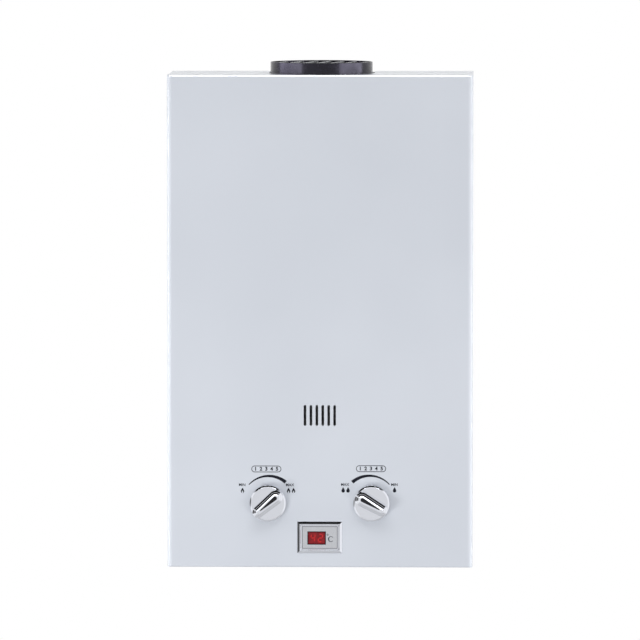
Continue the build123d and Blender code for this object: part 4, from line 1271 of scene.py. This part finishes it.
def pan_head(radius, height, place):
    """A dome with a cross recess, its seat on the place's XY plane and its top along Z."""
    half, reach = radius * cross_half, radius * cross_reach
    rings = []
    for share in head_shares:
        dome = height * (rim_share + (1 - rim_share) * (1 - share ** 3))
        ring = []
        for x, y, z in circle_ring(radius * share, dome, screw_steps):
            inside_cross = min(abs(x), abs(y)) < half and max(abs(x), abs(y)) < reach
            ring.append((x, y, z - height * cross_depth * inside_cross))
        rings.append(ring)
    rings.insert(0, [(x, y, 0.0) for x, y, z in rings[0]])
    return stack_rings(rings, place)


def shank_mesh(radius, length, place):
    """The plain shank under a head, with its end broken."""
    shank_radius = radius * shank_share
    tip = [(radius * tip_share, -length), (shank_radius, tip_length - length)]
    profile = tip + [(shank_radius, shank_overlap)]
    return turned(profile, 20, place)


def screw_set(name, places, direction, radius, height, shank_length=0.0):
    """Like screws at several places, as one piece, with their shanks where they would show."""
    forms = []
    for spot in places:
        forms.append(pan_head(radius, height, towards(spot, direction)))
        if shank_length:
            forms.append(shank_mesh(radius, shank_length, towards(spot, direction)))
    return shade(finished_piece(name, joined(forms), "steel"))


screw_low, _, screw_middle = box_of("cover_screws")
screw_spread = 158 * mm
screw_rise = cover_low.z - screw_low.z
cover_screw_places = [(side * screw_spread, screw_middle.y, cover_low.z) for side in (-1, 1)]
cover_screws = screw_set("cover_pan_screws", cover_screw_places, (0, 0, -1), 3.9 * mm, screw_rise, 7.5 * mm)
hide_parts("cover_screws")
print("cover screws stand out", round(screw_rise / mm, 2), "mm")

# %% [markdown]
# ## Screws and rivets inside
#
# Once the cover is off, fasteners show on the burner's frame, round the water valve's lid and at the
# gas valve's corners. They are small and many, so they were left out of the CAD, and the same head
# function makes them all.

# %% Fasten the burner's frame and the two valves
frame_low, frame_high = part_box("burner_frame")
rivet_drop = 8 * mm
rivet_row = (-92 * mm, -50 * mm, 50 * mm, 92 * mm)
rivets = [(x, frame_low.y, frame_high.z - rivet_drop) for x in rivet_row]
screw_set("burner_frame_rivets", rivets, (0, -1, 0), 2.4 * mm, 1.4 * mm)

lid_low, _, lid_middle = box_of("water_valve_cover")
lid_circle = 20.5 * mm
lid_screws = []
for k in range(6):
    angle = math.pi * (k / 3 + 1 / 6)
    y, z = lid_middle.y + lid_circle * math.cos(angle), lid_middle.z + lid_circle * math.sin(angle)
    lid_screws.append((lid_low.x, y, z))
screw_set("water_valve_screws", lid_screws, (-1, 0, 0), 2.8 * mm, 1.8 * mm)

valve_low, valve_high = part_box("gas_valve_body")
corner_inset = 6 * mm
gas_screws = []
for x in (valve_low.x + corner_inset, valve_high.x - corner_inset):
    for z in (valve_low.z + corner_inset, valve_high.z - corner_inset):
        gas_screws.append((x, valve_low.y, z))
screw_set("gas_valve_screws", gas_screws, (0, -1, 0), 3.0 * mm, 2.0 * mm)
print("inner screws", len(rivets) + len(lid_screws) + len(gas_screws))

# %% [markdown]
# ## The heat exchanger's fins
#
# The CAD has a few thick blocks where the real exchanger has thin copper fins pressed on the tubes,
# about one every two and a half millimetres. An Array modifier could repeat one fin, but then the
# count and the gap at both ends would have to be set by hand. A loop works them out from the box.

# %% Press on the thin fins


def box_mesh(low, high):
    """A plain block between two corners."""
    sides = ((low[0], low[1]), (high[0], low[1]), (high[0], high[1]), (low[0], high[1]))
    return stack_rings([[(x, y, z) for x, y in sides] for z in (low[2], high[2])])


fins_low, fins_high, fins_middle = box_of("exchanger_fins")
fin_pitch, fin_thickness = 2.6 * mm, 0.35 * mm
fin_total = int((fins_high.x - fins_low.x - fin_thickness) / fin_pitch) + 1
fins = []
for k in range(fin_total):
    x = fins_middle.x + (k - (fin_total - 1) / 2) * fin_pitch
    left, right = x - fin_thickness / 2, x + fin_thickness / 2
    fins.append(box_mesh((left, fins_low.y, fins_low.z), (right, fins_high.y, fins_high.z)))
fin_row = finished_piece("exchanger_thin_fins", joined(fins), "copper")
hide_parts("exchanger_fins")
print("fins", fin_total)

# %% [markdown]
# ## Nuts on the pipes
#
# Pipes meet valves and the gas rail in union nuts, which a fitter turns with a spanner. A nut is the
# fittings' hexagon again with its corners cut a little deeper, so the same function makes it.

# %% Union nuts
nut_across, nut_height, nut_corner_cut = 19.0 * mm, 9.0 * mm, 0.9
riser_low, riser_high, riser_middle = box_of("gas_riser")
feed_low, feed_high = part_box("cold_feed_pipe")
pipe_half = 6.4 * mm
nut_places = {
    "riser_nut_low": (riser_middle.x, riser_high.y - pipe_half, riser_low.z),
    "riser_nut_high": (riser_middle.x, riser_low.y + pipe_half, riser_high.z - nut_height),
    "feed_nut": (feed_low.x + pipe_half, feed_high.y - pipe_half, feed_low.z),
}
for name, spot in nut_places.items():
    nut = hexagon_mesh(nut_across, nut_height, towards(spot, (0, 0, 1)), nut_corner_cut)
    shade(finished_piece(name, nut, "brass"))
print("nuts", len(nut_places))

# %% [markdown]
# ## Terminals
#
# Leads are left out, but the tabs that they push onto are part of each device: flat tin-plated
# blades, 4.8 mm wide. They are stamped from sheet with no shape of their own, so plain blocks are
# right.

# %% Tabs on the switch, the solenoid and the thermostat
tab_thickness, tab_width, tab_length = 0.8 * mm, 4.8 * mm, 6.5 * mm
cutout_tab_length = 5.5 * mm
tab_rise, cutout_tab_rise = 3 * mm, 2.5 * mm
coil_tab_half, cutout_tab_half = 5 * mm, 3.5 * mm


def tab_set(name, places, size):
    """Blades at several places, each given by its middle; size is along X, Y and Z."""
    half = Vector(size) / 2
    blades = [box_mesh(Vector(place) - half, Vector(place) + half) for place in places]
    return shade(finished_piece(name, joined(blades), "steel"))


switch_low, switch_high, switch_middle = box_of("micro_switch")
switch_z = switch_high.z + tab_rise
switch_tabs = [(switch_low.x + d * mm, switch_middle.y, switch_z) for d in (4, 10, 16)]
tab_set("switch_tabs", switch_tabs, (tab_thickness, tab_width, tab_length))
_, coil_high, coil_middle = box_of("solenoid_valve")
coil_z = coil_high.z + tab_rise
coil_tabs = [(coil_middle.x + side * coil_tab_half, coil_middle.y, coil_z) for side in (-1, 1)]
tab_set("solenoid_tabs", coil_tabs, (tab_width, tab_thickness, tab_length))
cutout_low, _, cutout_middle = box_of("overheat_thermostat")
cutout_y = cutout_low.y - cutout_tab_rise
cutout_x = [cutout_middle.x + side * cutout_tab_half for side in (-1, 1)]
cutout_tabs = [(x, cutout_y, cutout_middle.z) for x in cutout_x]
tab_set("thermostat_tabs", cutout_tabs, (tab_thickness, cutout_tab_length, tab_width))
print("tabs", len(switch_tabs) + len(coil_tabs) + len(cutout_tabs))

# %% [markdown]
# ## The igniter's posts
#
# The igniter has two moulded posts that take the caps of its high-tension leads. Each is a stepped
# tube with a blind bore, so it is turned from one profile that runs up outside and back down inside.

# %% Turn the two posts
igniter_low, igniter_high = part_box("igniter_box")
post_inset, post_drop = 14 * mm, 30 * mm
post_profile = [(4.2, 0.0), (4.2, 1.5), (3.2, 1.8), (3.2, 9.0), (2.7, 9.6), (1.6, 9.6), (1.6, 5.0)]
posts = []
for x in (igniter_low.x + post_inset, igniter_high.x - post_inset):
    place = towards((x, igniter_low.y, igniter_high.z - post_drop), (0, -1, 0))
    posts.append(turned([(r * mm, h * mm) for r, h in post_profile], 28, place))
shade(finished_piece("igniter_posts", joined(posts), "black_plastic"))
print("posts", len(posts))

# %% [markdown]
# ## The cells
#
# Each D cell is a steel can in a printed jacket that is shrunk over its rims. Its plus end is a
# raised cap, its minus end a flat plate. One cylinder with painted ends would hide how it is made, so
# jacket, band and metal ends are turned apart, and each gets its own finish. The jacket is plain and
# dark, with one golden band at the plus end.

# %% The profiles of a D cell
cells_low, cells_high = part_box("batteries")
cell_radius = 17.1 * mm
cell_nub = 1.5 * mm
cell_length = cells_high.x - cells_low.x - cell_nub
jacket_profile = [
    (cell_radius - 1.6 * mm, 0.3 * mm),
    (cell_radius - 0.6 * mm, 0.1 * mm),
    (cell_radius, 0.7 * mm),
    (cell_radius, cell_length - 0.7 * mm),
    (cell_radius - 0.6 * mm, cell_length - 0.1 * mm),
    (cell_radius - 1.6 * mm, cell_length - 0.3 * mm),
]
band_share = 0.72
band_from = cell_length * band_share
band_profile = [
    (cell_radius - 0.2 * mm, band_from),
    (cell_radius + 0.03 * mm, band_from + 0.02 * mm),
    (cell_radius + 0.03 * mm, cell_length - 1 * mm),
    (cell_radius - 0.2 * mm, cell_length - 0.98 * mm),
]
minus_profile = [
    (cell_radius - 2 * mm, 0.25 * mm),
    (cell_radius - 2.4 * mm, 0.05 * mm),
    (cell_radius - 5 * mm, 0.0),
]
plus_profile = [
    (cell_radius - 2 * mm, cell_length - 0.4 * mm),
    (cell_radius - 2.4 * mm, cell_length - 0.1 * mm),
    (6.5 * mm, cell_length - 0.1 * mm),
    (5.0 * mm, cell_length + 0.2 * mm),
    (4.6 * mm, cell_length + 1.2 * mm),
    (4.2 * mm, cell_length + cell_nub),
]
print("cell", in_mm((2 * cell_radius, cell_length + cell_nub)))

# %% Lay the two cells in their box, head to tail
cell_z = cells_low.z + cell_radius
cell_rows = (
    (cells_high.x, cells_low.y + cell_radius, -1),
    (cells_low.x, cells_high.y - cell_radius, 1),
)
jackets, bands, metal = [], [], []
for minus_x, y, way in cell_rows:
    place = towards((minus_x, y, cell_z), (way, 0, 0))
    jackets.append(turned(jacket_profile, 64, place))
    bands.append(turned(band_profile, 64, place))
    metal.append(turned(minus_profile, 48, place))
    metal.append(turned(plus_profile, 48, place))
band = new_finish("jacket_band", (0.55, 0.42, 0.16), 0.35, 0.4, coat_weight=0.4)
tint(band, 6 * mm, (0.5, 0.38, 0.14), (0.6, 0.46, 0.19))
cell_jackets = shade(finished_piece("cell_jackets", joined(jackets), "cell_jacket"))
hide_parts("batteries")
shade(finished_piece("cell_bands", joined(bands), "cell_jacket", finish=band))
shade(finished_piece("cell_ends", joined(metal), "steel"))
print("cells", len(cell_rows))

# %% [markdown]
# ## The battery door's grip
#
# The door is pushed with a finger nail, so its lower face has a few raised ribs near the free edge.
# Bump alone would vanish edge on, so they are real ribs with broken edges. They are attached to the
# door's body.

# %% Ribs on the battery door
door_low, _, door_middle = box_of("battery_door")
rib_total, rib_pitch, first_rib = 5, 2.2 * mm, 5 * mm
rib_height, rib_root, rib_width, rib_half = 0.3 * mm, 0.2 * mm, 1.0 * mm, 14 * mm
rib_edge = 0.1 * mm
ribs = []
for k in range(rib_total):
    y = door_low.y + first_rib + k * rib_pitch
    low = (door_middle.x - rib_half, y - rib_width / 2, door_low.z - rib_height)
    high = (door_middle.x + rib_half, y + rib_width / 2, door_low.z + rib_root)
    ribs.append(box_mesh(low, high))
shade(finished_piece("battery_door_ribs", joined(ribs), "black_plastic", "door"), rib_edge)
print("ribs", len(ribs))

# %% [markdown]
# ## Keeping the size honest
# Both boxes are measured, and how far the dressed heater reaches beyond its CAD box below and above
# is printed. The dressed heater may not outgrow its CAD box. Both boxes are measured and written
# side by side, and the last line checks that every piece rides on a body.

# %% Print how far the heater has grown beyond its CAD box
bpy.context.view_layer.update()
low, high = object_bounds()
grown_below = [round((a - b) / mm, 2) for a, b in zip(cad_low, low)]
grown_above = [round((a - b) / mm, 2) for a, b in zip(high, cad_high)]
print("grown by", grown_below, grown_above)
